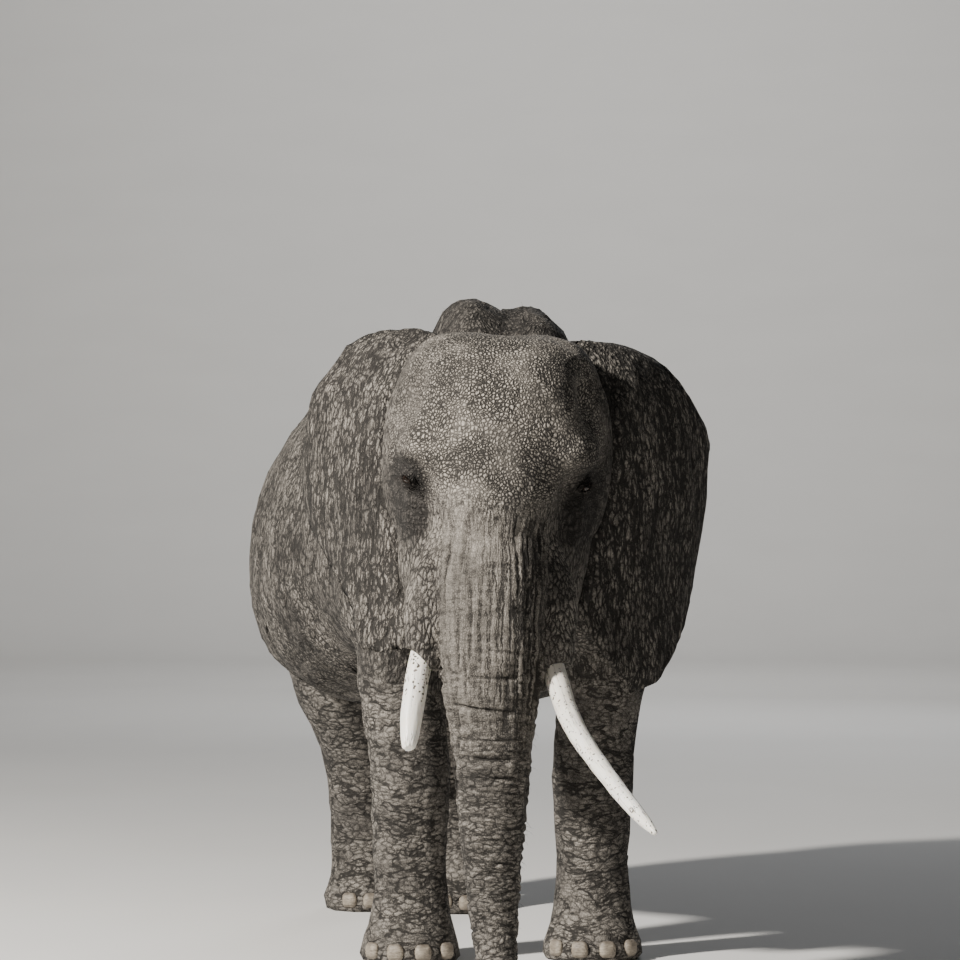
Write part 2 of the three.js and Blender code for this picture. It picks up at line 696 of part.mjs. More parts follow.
for (const leg of legs) {
  const [whole, foot] = [leg.name + "_leg", leg.name + "_foot"];
  const indexes = Array.from({ length: leg.nails }, (_, i) => i);
  for (const i of indexes) pieces[whole] = pieces[whole].subtract(makeNail(leg, i, gap));
  part(foot, whole, cutters("side", [[-100, -5], [400, -5], [400, 20], [-100, 20]], [-200, 200]));
  for (const i of indexes) addNode(`${leg.name}_toenail_${i + 1}`, makeNail(leg, i), "nail");
}
for (const [name, solid] of Object.entries(pieces)) addNode(name, solid, "skin");

addNode("tail", mainBody(makeTail().subtract(makeTorso(gap))), "skin");
addNode("tail_tuft", makeTailTuft(), "hair");
addNode("left_ear", mainBody(makeEar(leftEar).subtract(fleshGrown)), "skin");
addNode("right_ear", mainBody(makeEar(rightEar).subtract(fleshGrown)), "skin");
addNode("left_tusk", makeTusk(longTusk), "ivory");
addNode("right_tusk_broken", makeTusk(brokenTusk), "ivory");
addNode("left_eye", makeEye(1), "eye");
addNode("right_eye", makeEye(-1), "eye");

// The origin is the middle of the footprint of the whole, on the floor.
const box = new THREE.Box3().setFromObject(elephant);
elephant.position.set(-(box.min.x + box.max.x) / 2, -(box.min.y + box.max.y) / 2, -box.min.z);

export default elephant;
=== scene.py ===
import math
from functools import cache
from itertools import product

import bpy
import numpy as np
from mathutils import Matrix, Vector
from mathutils.bvhtree import BVHTree
from mathutils.geometry import barycentric_transform
from mathutils.kdtree import KDTree


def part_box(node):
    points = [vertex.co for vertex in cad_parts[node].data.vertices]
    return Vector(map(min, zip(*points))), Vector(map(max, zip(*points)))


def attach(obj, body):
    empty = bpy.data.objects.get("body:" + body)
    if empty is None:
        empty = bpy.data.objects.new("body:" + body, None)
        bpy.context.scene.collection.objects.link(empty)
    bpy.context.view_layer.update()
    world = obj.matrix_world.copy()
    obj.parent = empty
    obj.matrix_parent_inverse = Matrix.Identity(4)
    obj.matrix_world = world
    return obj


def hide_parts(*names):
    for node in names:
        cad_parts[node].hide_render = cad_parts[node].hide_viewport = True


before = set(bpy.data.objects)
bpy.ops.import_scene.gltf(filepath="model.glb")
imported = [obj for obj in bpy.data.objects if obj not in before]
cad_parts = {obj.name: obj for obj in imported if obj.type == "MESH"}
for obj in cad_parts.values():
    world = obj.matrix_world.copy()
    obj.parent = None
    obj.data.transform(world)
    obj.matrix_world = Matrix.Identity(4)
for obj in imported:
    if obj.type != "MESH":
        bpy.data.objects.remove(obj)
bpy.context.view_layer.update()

chance = np.random.default_rng(7)

# ------------------------------------------------------------ places
# Body space has its origin on the floor between the forefeet.
# Head space is body space with the head's roll undone.

eyeCentres = {side: sum(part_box(side + "_eye"), Vector()) / 2 for side in ("left", "right")}
eyeMiddle = (eyeCentres["left"] + eyeCentres["right"]) / 2
eyeSpan = eyeCentres["left"] - eyeCentres["right"]
headRoll = math.atan2(-eyeSpan.z, eyeSpan.x)
eyePlace = {"back": -1.315, "height": 2.32, "aside": -0.03}
home = np.array([eyeMiddle.x - eyePlace["aside"], eyeMiddle.y - eyePlace["back"], 0.0])


def toHead(points):
    x, rise = points[:, 0] - eyeMiddle.x, points[:, 2] - eyeMiddle.z
    c, s = math.cos(headRoll), math.sin(headRoll)
    return np.stack([x * c - rise * s, points[:, 1] - home[1], eyePlace["height"] + x * s + rise * c], 1)


def fromHead(points):
    x, rise = points[:, 0], points[:, 2] - eyePlace["height"]
    c, s = math.cos(headRoll), math.sin(headRoll)
    across, height = eyeMiddle.x + x * c + rise * s, eyeMiddle.z - x * s + rise * c
    return np.stack([across, points[:, 1] + home[1], height], 1)


def fromEyes(places):
    # The distance of each place from the left eye and from the right eye.
    return np.array([np.linalg.norm(places - np.array(centre), axis=1) for centre in eyeCentres.values()])


# ------------------------------------------------------------ camera, floor, light

viewer = {"place": (-0.105, -19.55, 2.335), "lens": 150.0, "sensor": 36.0, "farthest": 200.0}
floorLook = {
    "size": 60.0, "wallAt": 32.0, "wallHeight": 18.0, "curve": 4.0, "curveSteps": 16,
    "color": (0.74, 0.73, 0.71), "roughness": 0.85,
}
chest, wallMiddle = (0, 0.3, 1.6), (0, floorLook["wallAt"] + floorLook["curve"], 5.0)
lights = {
    "key": {"at": (-11.0, -8.6, 10.5), "size": 1.0, "power": 6500, "color": (1.0, 0.96, 0.90)},
    "fill": {"at": (7.0, -14.0, 4.0), "size": 7.0, "power": 12, "color": (0.88, 0.93, 1.0)},
    "back": {"at": (4.0, 20.0, 9.0), "size": 5.0, "power": 700, "color": (0.95, 0.97, 1.0)},
    "wall": {"at": (2.0, 21.5, 12.0), "size": 6.0, "power": 1250, "color": (1.0, 1.0, 1.0)},
}
sky = {"color": (0.93, 0.96, 1.0, 1), "strength": 0.075}


def makeCamera():
    bpy.ops.object.camera_add(location=Vector(viewer["place"]) + Vector(home), rotation=(math.pi / 2, 0, 0))
    camera = bpy.context.object
    camera.data.lens = viewer["lens"]
    camera.data.sensor_width = viewer["sensor"]
    camera.data.clip_end = viewer["farthest"]
    bpy.context.scene.camera = camera


def makeFloor():
    # One sweep: a level floor that curves up into a wall behind the animal.
    steps, curve, wallAt = floorLook["curveSteps"], floorLook["curve"], floorLook["wallAt"]
    profile = [(-floorLook["size"], 0.0), (wallAt, 0.0)]
    for i in range(1, steps + 1):
        angle = math.pi / 2 * i / steps
        profile.append((wallAt + curve * math.sin(angle), curve * (1 - math.cos(angle))))
    profile.append((profile[-1][0], floorLook["wallHeight"]))
    mesh = bpy.data.meshes.new("floor")
    wide = floorLook["size"] / 2
    places = [(side * wide, y, z) for y, z in profile for side in (-1, 1)]
    faces = [(2 * i, 2 * i + 1, 2 * i + 3, 2 * i + 2) for i in range(len(profile) - 1)]
    mesh.from_pydata(places, [], faces)
    mesh.shade_smooth()
    floor = bpy.data.objects.new("floor", mesh)
    bpy.context.collection.objects.link(floor)
    mesh.materials.append(plainMaterial("paleFloor", floorLook["color"], floorLook["roughness"]))


def makeLights():
    for name, light in lights.items():
        bpy.ops.object.light_add(type="AREA", location=Vector(light["at"]) + Vector(home))
        lamp = bpy.context.object
        lamp.name = name + "Light"
        lamp.data.energy = light["power"]
        lamp.data.size = light["size"]
        lamp.data.color = light["color"]
        aim = Vector(wallMiddle if name == "wall" else Vector(chest) + Vector(home)) - lamp.location
        lamp.rotation_euler = aim.to_track_quat("-Z", "Y").to_euler()
    world = bpy.data.worlds.new("studio")
    world.use_nodes = True
    background = world.node_tree.nodes["Background"].inputs
    background["Color"].default_value = sky["color"]
    background["Strength"].default_value = sky["strength"]
    bpy.context.scene.world = world


# ------------------------------------------------------------ node helpers


def addNode(tree, kind, inputs=None, **settings):
    node = tree.nodes.new(kind)
    for key, value in settings.items():
        setattr(node, key, value)
    for key, value in (inputs or {}).items():
        if isinstance(value, bpy.types.NodeSocket):
            tree.links.new(value, node.inputs[key])
        else:
            node.inputs[key].default_value = value
    return node


def calc(tree, operation, *values, clamp=False):
    inputs = {i: value for i, value in enumerate(values)}
    return addNode(tree, "ShaderNodeMath", inputs, operation=operation, use_clamp=clamp).outputs[0]


def vectorCalc(tree, operation, a, b):
    return addNode(tree, "ShaderNodeVectorMath", {0: a, 1: b}, operation=operation).outputs[0]


def times(tree, first, *others):
    for other in others:
        first = calc(tree, "MULTIPLY", first, other)
    return first


def total(tree, *products):
    # The sum of products, each of two or more sockets or numbers.
    result = 0.0
    for *factors, last in products:
        result = calc(tree, "MULTIPLY_ADD", times(tree, *factors), last, result)
    return result


def attribute(tree, name, output="Fac"):
    return addNode(tree, "ShaderNodeAttribute", attribute_name=name).outputs[output]


def remap(tree, value, fromMin, fromMax, toMin=0.0, toMax=1.0, smooth=False):
    inputs = {"Value": value, "From Min": fromMin, "From Max": fromMax, "To Min": toMin, "To Max": toMax}
    kind = "SMOOTHSTEP" if smooth else "LINEAR"
    return addNode(tree, "ShaderNodeMapRange", inputs, interpolation_type=kind).outputs[0]


def mottle(tree, place, perMetre, detail):
    inputs = {"Vector": place, "Scale": perMetre, "Detail": detail}
    return addNode(tree, "ShaderNodeTexNoise", inputs).outputs["Fac"]


def objectPlace(tree):
    return addNode(tree, "ShaderNodeTexCoord").outputs["Object"]


def addRelief(tree, shader, height):
    # height is in metres.
    bump = addNode(tree, "ShaderNodeBump", {"Strength": 1.0, "Distance": 1.0, "Height": height})
    tree.links.new(bump.outputs["Normal"], shader.inputs["Normal"])


def mixColor(tree, factor, a, b, blend="MIX"):
    node = addNode(tree, "ShaderNodeMix", data_type="RGBA", blend_type=blend, clamp_factor=True)
    for index, value in ((0, factor), (6, a), (7, b)):
        if isinstance(value, bpy.types.NodeSocket):
            tree.links.new(value, node.inputs[index])
        else:
            node.inputs[index].default_value = (*value, 1) if index else value
    return node.outputs[2]


def newMaterial(name):
    material = bpy.data.materials.new(name)
    material.use_nodes = True
    tree = material.node_tree
    tree.nodes.clear()
    shader = addNode(tree, "ShaderNodeBsdfPrincipled")
    output = addNode(tree, "ShaderNodeOutputMaterial")
    tree.links.new(shader.outputs[0], output.inputs["Surface"])
    return material, tree, shader


def plainMaterial(name, color, roughness):
    material, tree, shader = newMaterial(name)
    grain = addNode(tree, "ShaderNodeTexNoise", {"Scale": 40.0})
    tint = remap(tree, grain.outputs["Fac"], 0.3, 0.7, 0.97, 1.0)
    tree.links.new(mixColor(tree, 1.0, color, tint, "MULTIPLY"), shader.inputs["Base Color"])
    shader.inputs["Roughness"].default_value = roughness
    return material


def newSkinGroup(name):
    # A node group with the sockets that both kinds of crack share, and the place that its texture is read at.
    group = bpy.data.node_groups.new(name, "ShaderNodeTree")
    face = group.interface
    for socket in ("Place", "Stretch"):
        face.new_socket(socket, in_out="INPUT", socket_type="NodeSocketVector")
    for socket in ("Cells per metre", "Crack width", "Seed"):
        face.new_socket(socket, in_out="INPUT", socket_type="NodeSocketFloat")
    for socket in ("Crack", "Dome"):
        face.new_socket(socket, in_out="OUTPUT", socket_type="NodeSocketFloat")
    given = addNode(group, "NodeGroupInput").outputs
    taken = addNode(group, "NodeGroupOutput").inputs
    stretched = vectorCalc(group, "MULTIPLY", given["Place"], given["Stretch"])
    seed = addNode(group, "ShaderNodeCombineXYZ", {2: given["Seed"]}).outputs[0]
    return group, given, taken, vectorCalc(group, "ADD", stretched, seed)


def makeCrackGroup():
    # Dry skin splits into cells. Crack is 1 in a crack, and Dome rises from there to the middle of each cell.
    group, given, taken, place = newSkinGroup("skinCracks")
    inputs = {"Vector": place, "Scale": given["Cells per metre"]}
    cells = addNode(group, "ShaderNodeTexVoronoi", inputs, feature="DISTANCE_TO_EDGE").outputs["Distance"]
    crack = remap(group, cells, 0.0, given["Crack width"], 1.0, 0.0, smooth=True)
    group.links.new(crack, taken["Crack"])
    group.links.new(remap(group, cells, 0.0, 0.42, smooth=True), taken["Dome"])
    return group


def makeWrinkleGroup():
    # The same sockets, for winding lines where a noise crosses its middle.
    group, given, taken, place = newSkinGroup("skinWrinkles")
    inputs = {"Vector": place, "Scale": given["Cells per metre"], "Detail": 2.5, "Roughness": 0.55}
    wave = addNode(group, "ShaderNodeTexNoise", inputs).outputs["Fac"]
    away = calc(group, "ABSOLUTE", calc(group, "SUBTRACT", wave, 0.5))
    crack = remap(group, away, 0.0, given["Crack width"], 1.0, 0.0, smooth=True)
    group.links.new(crack, taken["Crack"])
    group.links.new(calc(group, "POWER", remap(group, away, 0.0, 0.16), 0.6), taken["Dome"])
    return group


def bend(tree, place, perMetre, reach):
    # Moves the places a texture is read from by a noise, so that its lines wander.
    noise = addNode(tree, "ShaderNodeTexNoise", {"Vector": place, "Scale": perMetre, "Detail": 1.0})
    move = vectorCalc(tree, "SUBTRACT", noise.outputs["Color"], (0.5, 0.5, 0.5))
    return vectorCalc(tree, "ADD", place, vectorCalc(tree, "MULTIPLY", move, (reach,) * 3))


def cracks(tree, group, place, perMetre, width, stretch=(1, 1, 1), seed=0.0):
    node = addNode(tree, "ShaderNodeGroup", node_tree=group)
    tree.links.new(place, node.inputs["Place"])
    node.inputs["Cells per metre"].default_value = perMetre
    node.inputs["Crack width"].default_value = width
    node.inputs["Stretch"].default_value = stretch
    node.inputs["Seed"].default_value = seed
    return node.outputs["Crack"], node.outputs["Dome"]


# ------------------------------------------------------------ noise and curves


def hashGrid(cells, seed):
    n = cells[..., 0] * 73856093 ^ cells[..., 1] * 19349663 ^ cells[..., 2] * 83492791 ^ (seed * 2654435761)
    n = (n ^ (n >> 13)) * 1274126177 & 0x7FFFFFFF
    return ((n ^ (n >> 16)) & 0xFFFF) / 32767.5 - 1


def bumpyNoise(points, size, seed=0, layers=1):
    total, strength = np.zeros(len(points)), 1.0
    for layer in range(layers):
        scaled = points / (size / 2**layer)
        corner = np.floor(scaled).astype(np.int64)
        part = scaled - corner
        part = part * part * (3 - 2 * part)
        value = np.zeros(len(points))
        for steps in product((0, 1), repeat=3):
            weight = np.ones(len(points))
            for axis, step in enumerate(steps):
                weight *= part[:, axis] if step else 1 - part[:, axis]
            value += weight * hashGrid(corner + np.array(steps), seed + layer * 17)
        total += strength * value
        strength *= 0.5
    return total


def smoothStep(value, low, high):
    t = np.clip((value - low) / (high - low), 0, 1)
    return t * t * (3 - 2 * t)


def nearLine(points, line):
    # For each point: distance to a bent line, how far along it, and the vector from it.
    line = np.asarray(line, float)
    best, along, offset = np.full(len(points), 1e9), np.zeros(len(points)), np.zeros((len(points), 3))
    start = 0.0
    for a, b in zip(line[:-1], line[1:]):
        d = b - a
        length = np.linalg.norm(d)
        t = np.clip((points - a) @ d / length**2, 0, 1)
        away = points - (a + t[:, None] * d)
        distance = np.linalg.norm(away, axis=1)
        closer = distance < best
        best[closer], offset[closer] = distance[closer], away[closer]
        along[closer] = (start + t * length)[closer]
        start += length
    return best, along, offset


def furrows(phase):
    # Round crests between grooves, with a groove at each whole number.
    return np.sqrt(np.abs(np.sin(math.pi * phase)))


# ------------------------------------------------------------ the skin

skinNodes = {
    "torso": ["torso"],
    "neck": ["neck"],
    "head": ["head", "lower_jaw"],
    "trunk": ["trunk_upper", "trunk_middle", "trunk_tip"],
    "foreleg": ["right_fore_leg", "left_fore_leg"],
    "hindleg": ["right_hind_leg", "left_hind_leg"],
    "foot": ["right_fore_foot", "left_fore_foot", "right_hind_foot", "left_hind_foot"],
    "tail": ["tail"],
    "ear": ["left_ear", "right_ear"],
}
skinBuild = {
    "swell": 0.0015,
    "voxel": 0.0125,
    "triangles": 192000,
    "fine": (0.11, 0.06),  # how far round each eye the mesh is made finer, once and then again
    # Where the mesh is thinned less: shares of zones, and how far round each eye.
    "keep": {"head": 0.35, "trunk": 0.3, "ear": 0.15}, "keepRoundEyes": 0.07,
    "rounding": {  # how far facets are rounded off, in metres
        "torso": 0.045, "neck": 0.045, "head": 0.022, "trunk": 0.024, "foreleg": 0.034,
        "hindleg": 0.036, "foot": 0.018, "tail": 0.014, "ear": 0.03,
    },
    "sharePasses": 6,
    # How the facets are bowed out before that.
    "sameCorner": 0.0015, "smoothAngle": 50, "curve": 0.75, "bowPasses": 4,
    "earSwell": 0.016,  # keeps the thin rims whole in the voxels, and comes off again
}
trunkLine = [
    (0, -1.38, 2.22), (0, -1.50, 1.95), (0.005, -1.56, 1.68), (0.015, -1.58, 1.40), (0.032, -1.59, 1.10),
    (0.046, -1.58, 0.80), (0.06, -1.57, 0.52), (0.08, -1.60, 0.30), (0.10, -1.70, 0.14), (0.12, -1.83, 0.11),
]


def selectOnly(*objects):
    bpy.ops.object.select_all(action="DESELECT")
    for item in objects:
        item.select_set(True)
    bpy.context.view_layer.objects.active = objects[0]


def copyNode(name, swell=0.0):
    # A copy of a CAD node as one welded mesh, a little swollen so that neighbours run into each other.
    copy = bpy.data.objects.new(name + "_copy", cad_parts[name].data.copy())
    bpy.context.collection.objects.link(copy)
    copy.data.materials.clear()
    selectOnly(copy)
    bpy.ops.object.mode_set(mode="EDIT")
    bpy.ops.mesh.select_all(action="SELECT")
    bpy.ops.mesh.remove_doubles(threshold=0.00002)
    if swell:
        bpy.ops.transform.shrink_fatten(value=swell)
    bpy.ops.object.mode_set(mode="OBJECT")
    return copy


def applyModifier(item, kind, **settings):
    modifier = item.modifiers.new(kind, kind)
    for key, value in settings.items():
        setattr(modifier, key, value)
    selectOnly(item)
    bpy.ops.object.modifier_apply(modifier=modifier.name)


def finePiece(name, look, ending):
    # A rounder copy of one CAD node, as a piece of its own.
    piece = copyNode(name, look["swell"])
    applyModifier(piece, "SUBSURF", levels=look["levels"], render_levels=look["levels"])
    piece.name = piece.data.name = name + ending
    return piece


def getPlaces(mesh, kind="co"):
    places = np.empty(len(mesh.vertices) * 3, np.float32)
    mesh.vertices.foreach_get(kind, places)
    return places.reshape(-1, 3).astype(float)


def setPlaces(mesh, places):
    mesh.vertices.foreach_set("co", places.astype(np.float32).ravel())
    mesh.update()


def getNormals(mesh):
    return getPlaces(mesh, "normal")


def repeat(change, values, count):
    for _ in range(count):
        values = change(values)
    return values


def makeSpreader(mesh):
    # Returns a function that gives each vertex the average of its neighbours' values.
    edges = np.empty(len(mesh.edges) * 2, np.int32)
    mesh.edges.foreach_get("vertices", edges)
    a, b = edges.reshape(-1, 2).T
    count = len(mesh.vertices)
    near = np.maximum(np.bincount(a, minlength=count) + np.bincount(b, minlength=count), 1)

    def spread(values):
        columns = values.reshape(count, -1)
        sums = [
            np.bincount(a, columns[b, i], count) + np.bincount(b, columns[a, i], count)
            for i in range(columns.shape[1])
        ]
        return (np.stack(sums, 1) / near[:, None]).reshape(values.shape)

    return spread


def gatherFacets():
    # The CAD's flesh as triangles: their corners, the zone of each, and a smooth normal at each corner.
    corners, owners = [], []
    for index, names in enumerate(skinNodes.values()):
        for name in names:
            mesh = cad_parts[name].data
            mesh.calc_loop_triangles()
            corners.extend([mesh.vertices[i].co[:] for i in t.vertices] for t in mesh.loop_triangles)
            owners.extend([index] * len(mesh.loop_triangles))
    corners = np.array(corners)
    following, before = np.roll(corners, -1, 1) - corners, np.roll(corners, 1, 1) - corners
    flatNormals = np.cross(following[:, 0], before[:, 0])
    flatNormals /= np.linalg.norm(flatNormals, axis=1)[:, None] + 1e-12
    lengths = np.linalg.norm(following, axis=2) * np.linalg.norm(before, axis=2) + 1e-12
    angles = np.arccos(np.clip((following * before).sum(2) / lengths, -1, 1)).ravel()
    places = corners.reshape(-1, 3)
    tree = KDTree(len(places))
    for index, place in enumerate(places):
        tree.insert(place, index)
    tree.balance()
    least = math.cos(math.radians(skinBuild["smoothAngle"]))
    normals = np.empty_like(places)
    for index, place in enumerate(places):
        near = np.array([found[1] for found in tree.find_range(place, skinBuild["sameCorner"])])
        ways = flatNormals[near // 3]
        alike = ways @ flatNormals[index // 3] > least
        normals[index] = (ways[alike] * angles[near[alike], None]).sum(0)
    normals /= np.linalg.norm(normals, axis=1)[:, None] + 1e-12
    return corners, np.array(owners), normals.reshape(-1, 3, 3)


facets, facetZones, facetNormals = gatherFacets()
facetTree = BVHTree.FromPolygons(
    facets.reshape(-1, 3).tolist(), np.arange(len(facets) * 3).reshape(-1, 3).tolist(), all_triangles=True
)


def nearestFacets(places):
    found = [facetTree.find_nearest(Vector(place)) for place in places]
    return np.array([spot[0][:] for spot in found]), np.array([spot[2] for spot in found])


def nearestZones(places):
    # For each place, the share of every zone: 1 in the zone whose CAD node is nearest.
    _, index = nearestFacets(places)
    return {zone: (facetZones[index] == number).astype(float) for number, zone in enumerate(skinNodes)}


def bowOut(places):
    # How far the flat facets would move if each were bowed to suit the smooth normals at its corners.
    spots, index = nearestFacets(places)
    a, b, c = facets[index].transpose(1, 0, 2)
    whole = np.linalg.norm(np.cross(b - a, c - a), axis=1) + 1e-12
    parts = [np.cross(p - spots, q - spots) for p, q in ((b, c), (c, a), (a, b))]
    shares = np.linalg.norm(parts, axis=2).T / whole[:, None]
    shares /= shares.sum(1)[:, None]
    away = ((spots[:, None] - facets[index]) * facetNormals[index]).sum(2)
    return -skinBuild["curve"] * (facetNormals[index] * (away * shares)[:, :, None]).sum(1)


def roundOff(mesh, zones, voxel):
    # Rounds the facets off without shrinking the form: smooth, then smooth and give back what was lost.
    spread = makeSpreader(mesh)
    steps = {zone: (reach / voxel) ** 2 * 4 for zone, reach in skinBuild["rounding"].items()}
    most = max(steps.values())
    share = sum(zones[zone] * steps[zone] / most for zone in zones)
    share = 0.5 * repeat(spread, share, skinBuild["sharePasses"])[:, None]

    def smooth(values):
        return repeat(lambda now: now + share * (spread(now) - now), values, int(most))

    places = getPlaces(mesh)
    once = smooth(places)
    setPlaces(mesh, once + smooth(places - once))


def makeSkinBase():
    swells = dict.fromkeys(skinNodes, skinBuild["swell"]) | {"ear": skinBuild["earSwell"]}
    selectOnly(*(copyNode(name, swells[zone]) for zone, names in skinNodes.items() for name in names))
    bpy.ops.object.join()
    skin = bpy.context.object
    applyModifier(skin, "REMESH", mode="VOXEL", voxel_size=skinBuild["voxel"], use_smooth_shade=True)
    bpy.ops.object.mode_set(mode="EDIT")
    bpy.ops.mesh.select_all(action="SELECT")
    bpy.ops.mesh.separate(type="LOOSE")
    bpy.ops.object.mode_set(mode="OBJECT")
    parts = sorted(bpy.context.selected_objects, key=lambda part: len(part.data.vertices))
    skin = parts.pop()
    for crumb in parts:
        bpy.data.objects.remove(crumb)
    skin.name = skin.data.name = "skin"
    zones = nearestZones(getPlaces(skin.data))
    places, spread = getPlaces(skin.data), makeSpreader(skin.data)
    setPlaces(skin.data, places + repeat(spread, bowOut(places), skinBuild["bowPasses"]))
    roundOff(skin.data, zones, skinBuild["voxel"])
    print("skin base", len(skin.data.vertices), "vertices")
    return skin, zones


def subdivideNear(skin, chosen):
    # Splits the faces whose corners are all chosen.
    mesh = skin.data
    selectOnly(skin)
    bpy.ops.object.mode_set(mode="EDIT")
    bpy.ops.mesh.select_mode(type="FACE")
    bpy.ops.mesh.select_all(action="DESELECT")
    bpy.ops.object.mode_set(mode="OBJECT")
    chosen = chosen.tolist()
    picked = [all(chosen[i] for i in polygon.vertices) for polygon in mesh.polygons]
    mesh.polygons.foreach_set("select", picked)
    bpy.ops.object.mode_set(mode="EDIT")
    bpy.ops.mesh.subdivide(number_cuts=1, smoothness=0)
    bpy.ops.object.mode_set(mode="OBJECT")


# ------------------------------------------------------------ folds of the skin

# Soft dabs on both sides of the head, in head space: where, how wide, and how far out or in.
headDabs = {
    "hollow before the eye": {"at": (0.335, -1.44, 2.27), "size": (0.045, 0.12, 0.07), "lift": -0.022},
    "brow": {"at": (0.385, -1.37, 2.445), "size": (0.075, 0.12, 0.05), "lift": 0.022},
    "hollow over the eye": {"at": (0.42, -1.30, 2.375), "size": (0.06, 0.07, 0.025), "lift": -0.010},
    "temple": {"at": (0.40, -1.22, 2.74), "size": (0.06, 0.12, 0.12), "lift": -0.030},
    "cheekbone": {"at": (0.43, -1.13, 2.18), "size": (0.05, 0.10, 0.10), "lift": 0.014},
    "crown": {"at": (0.17, -1.20, 2.92), "size": (0.13, 0.16, 0.09), "lift": 0.014},
}
headFolds = {
    "lumpSize": 0.11, "lump": 0.004, "wrinkleSize": 0.05, "wrinkle": 0.004,
    "brow": (0.006, 0.007), "browRoll": (0.002, 0.018), "browWander": (0.012, 0.09),
}
# The face falls back outside this edge, from the brow down to the tusks: height and distance from the middle.
faceEdge = {
    "height": (1.60, 1.75, 1.87, 1.97, 2.03, 2.10, 2.20, 2.30, 2.38, 2.45, 2.55),
    "out": (0.43, 0.42, 0.385, 0.353, 0.32, 0.285, 0.29, 0.30, 0.33, 0.375, 0.42),
    "drop": (0.0, 0.01, 0.018, 0.025, 0.030, 0.034, 0.034, 0.030, 0.022, 0.010, 0.0),
}
browCreases = [
    [(0.40, -1.38, 2.41), (0.31, -1.50, 2.43), (0.22, -1.56, 2.50), (0.13, -1.59, 2.60)],
    [(0.37, -1.44, 2.36), (0.28, -1.50, 2.37), (0.19, -1.58, 2.43), (0.10, -1.61, 2.49)],
    [(0.34, -1.44, 2.30), (0.26, -1.51, 2.30), (0.18, -1.59, 2.34)],
    [(0.30, -1.46, 2.20), (0.22, -1.53, 2.23), (0.14, -1.61, 2.24), (0.03, -1.65, 2.22)],
]
trunkFolds = {
    "around": 0.19, "furrowSize": (0.021, 0.55), "furrow": 0.016, "furrowEnd": (0.95, 1.55),
    "ringSize": (0.30, 0.040), "ring": 0.008, "ringStart": (0.10, 0.80), "ringSpacing": 0.062, "wander": 0.8,
    # Long level creases across the front: heights in head space.
    "deep": (1.474, 1.324, 1.190, 1.106, 1.020), "deepDepth": 0.013, "deepWidth": 0.007,
    "sag": 0.012, "sagNoise": (0.008, 0.12), "broad": (0.5, 1.1), "broadAt": -0.25,
    # Where the sheaths beside the trunk, which are nearly smooth, begin.
    "sheathAside": (0.23, 0.29), "sheathAbove": (1.45, 1.55),
}
earFolds = {"drape": 0.012, "drapeSize": 0.20, "wrinkle": 0.0055, "wrinkleSize": 0.07, "rootGroove": 0.03}
# Where the rim of the right ear bulges, which way, and how wide.
rimBulge = {"at": (-0.880, 2.745), "way": (-0.036, 0.0, 0.018), "size": 0.125}
legFolds = {
    "spacing": 0.075, "depth": 0.007, "wrinkle": 0.006, "wrinkleSize": 0.06, "wander": 0.9,
    "lump": 0.006, "lumpSize": 0.16,
}
bodyFolds = {
    "spacing": 0.11, "depth": 0.007, "wrinkle": 0.009, "wrinkleSize": 0.10, "wander": 1.3, "lump": 0.012,
    "lumpSize": 0.32,
}
# Two creases run between the humps over the shoulders, along a cleft that is evened out first.
humpCreases = {
    "at": (-0.006, 0.024), "from": (2.70, 2.85), "back": (0.5, 0.9), "depth": 0.007, "width": 0.007,
    "wander": 0.012,
}
cleft = {"from": (2.62, 2.76), "front": (-0.75, -0.60), "passes": 110, "middle": 0.010, "spread": 0.075}


def dab(points, at, size):
    return np.exp(-(((points - np.array(at)) / np.array(size)) ** 2).sum(1))


def creases(points, size, width, seed, layers=2):
    # 1 along the winding lines where a noise changes sign, and 0 away from them.
    return np.exp(-((bumpyNoise(points, size, seed, layers) / width) ** 2))


def faceShare(points):
    # How far a place lies inside the face's edge: 1 on the trunk's root, 0 on the cheeks.
    out = np.abs(points[:, 0]) - np.interp(points[:, 2], faceEdge["height"], faceEdge["out"])
    return 1 - smoothStep(out, -0.03, 0.03)


def headLift(points):
    # points are in head space.
    lift = headFolds["lump"] * bumpyNoise(points, headFolds["lumpSize"], 3, 3)
    out = np.abs(points[:, 0]) - np.interp(points[:, 2], faceEdge["height"], faceEdge["out"])
    drop = np.interp(points[:, 2], faceEdge["height"], faceEdge["drop"])
    front = 1 - smoothStep(points[:, 1], -1.25, -1.05)
    lift -= drop * front * smoothStep(out, -0.03, 0.05) * (1 - 0.75 * smoothStep(out, 0.09, 0.19))
    (depth, width), (roll, rollWidth) = headFolds["brow"], headFolds["browRoll"]
    wander, wanderSize = headFolds["browWander"]
    for side in (-1, 1):
        mirrored = points * (side, 1, 1)
        for spot in headDabs.values():
            lift += spot["lift"] * dab(mirrored, spot["at"], spot["size"])
        for index, line in enumerate(browCreases):
            moved = mirrored + wander * bumpyNoise(points, wanderSize, 80 + index)[:, None]
            distance, _, _ = nearLine(moved, line)
            lift -= depth * np.exp(-((distance / width) ** 2)) - roll * np.exp(-((distance / rollWidth) ** 2))
    below = 1 - smoothStep(points[:, 2], 2.2, 2.5)
    cheek = below * (1 - faceShare(points))
    wrinkled = creases(points * (1, 0.6, 0.35), headFolds["wrinkleSize"], 0.16, 5)
    return lift - headFolds["wrinkle"] * wrinkled * (0.35 + 0.65 * cheek)


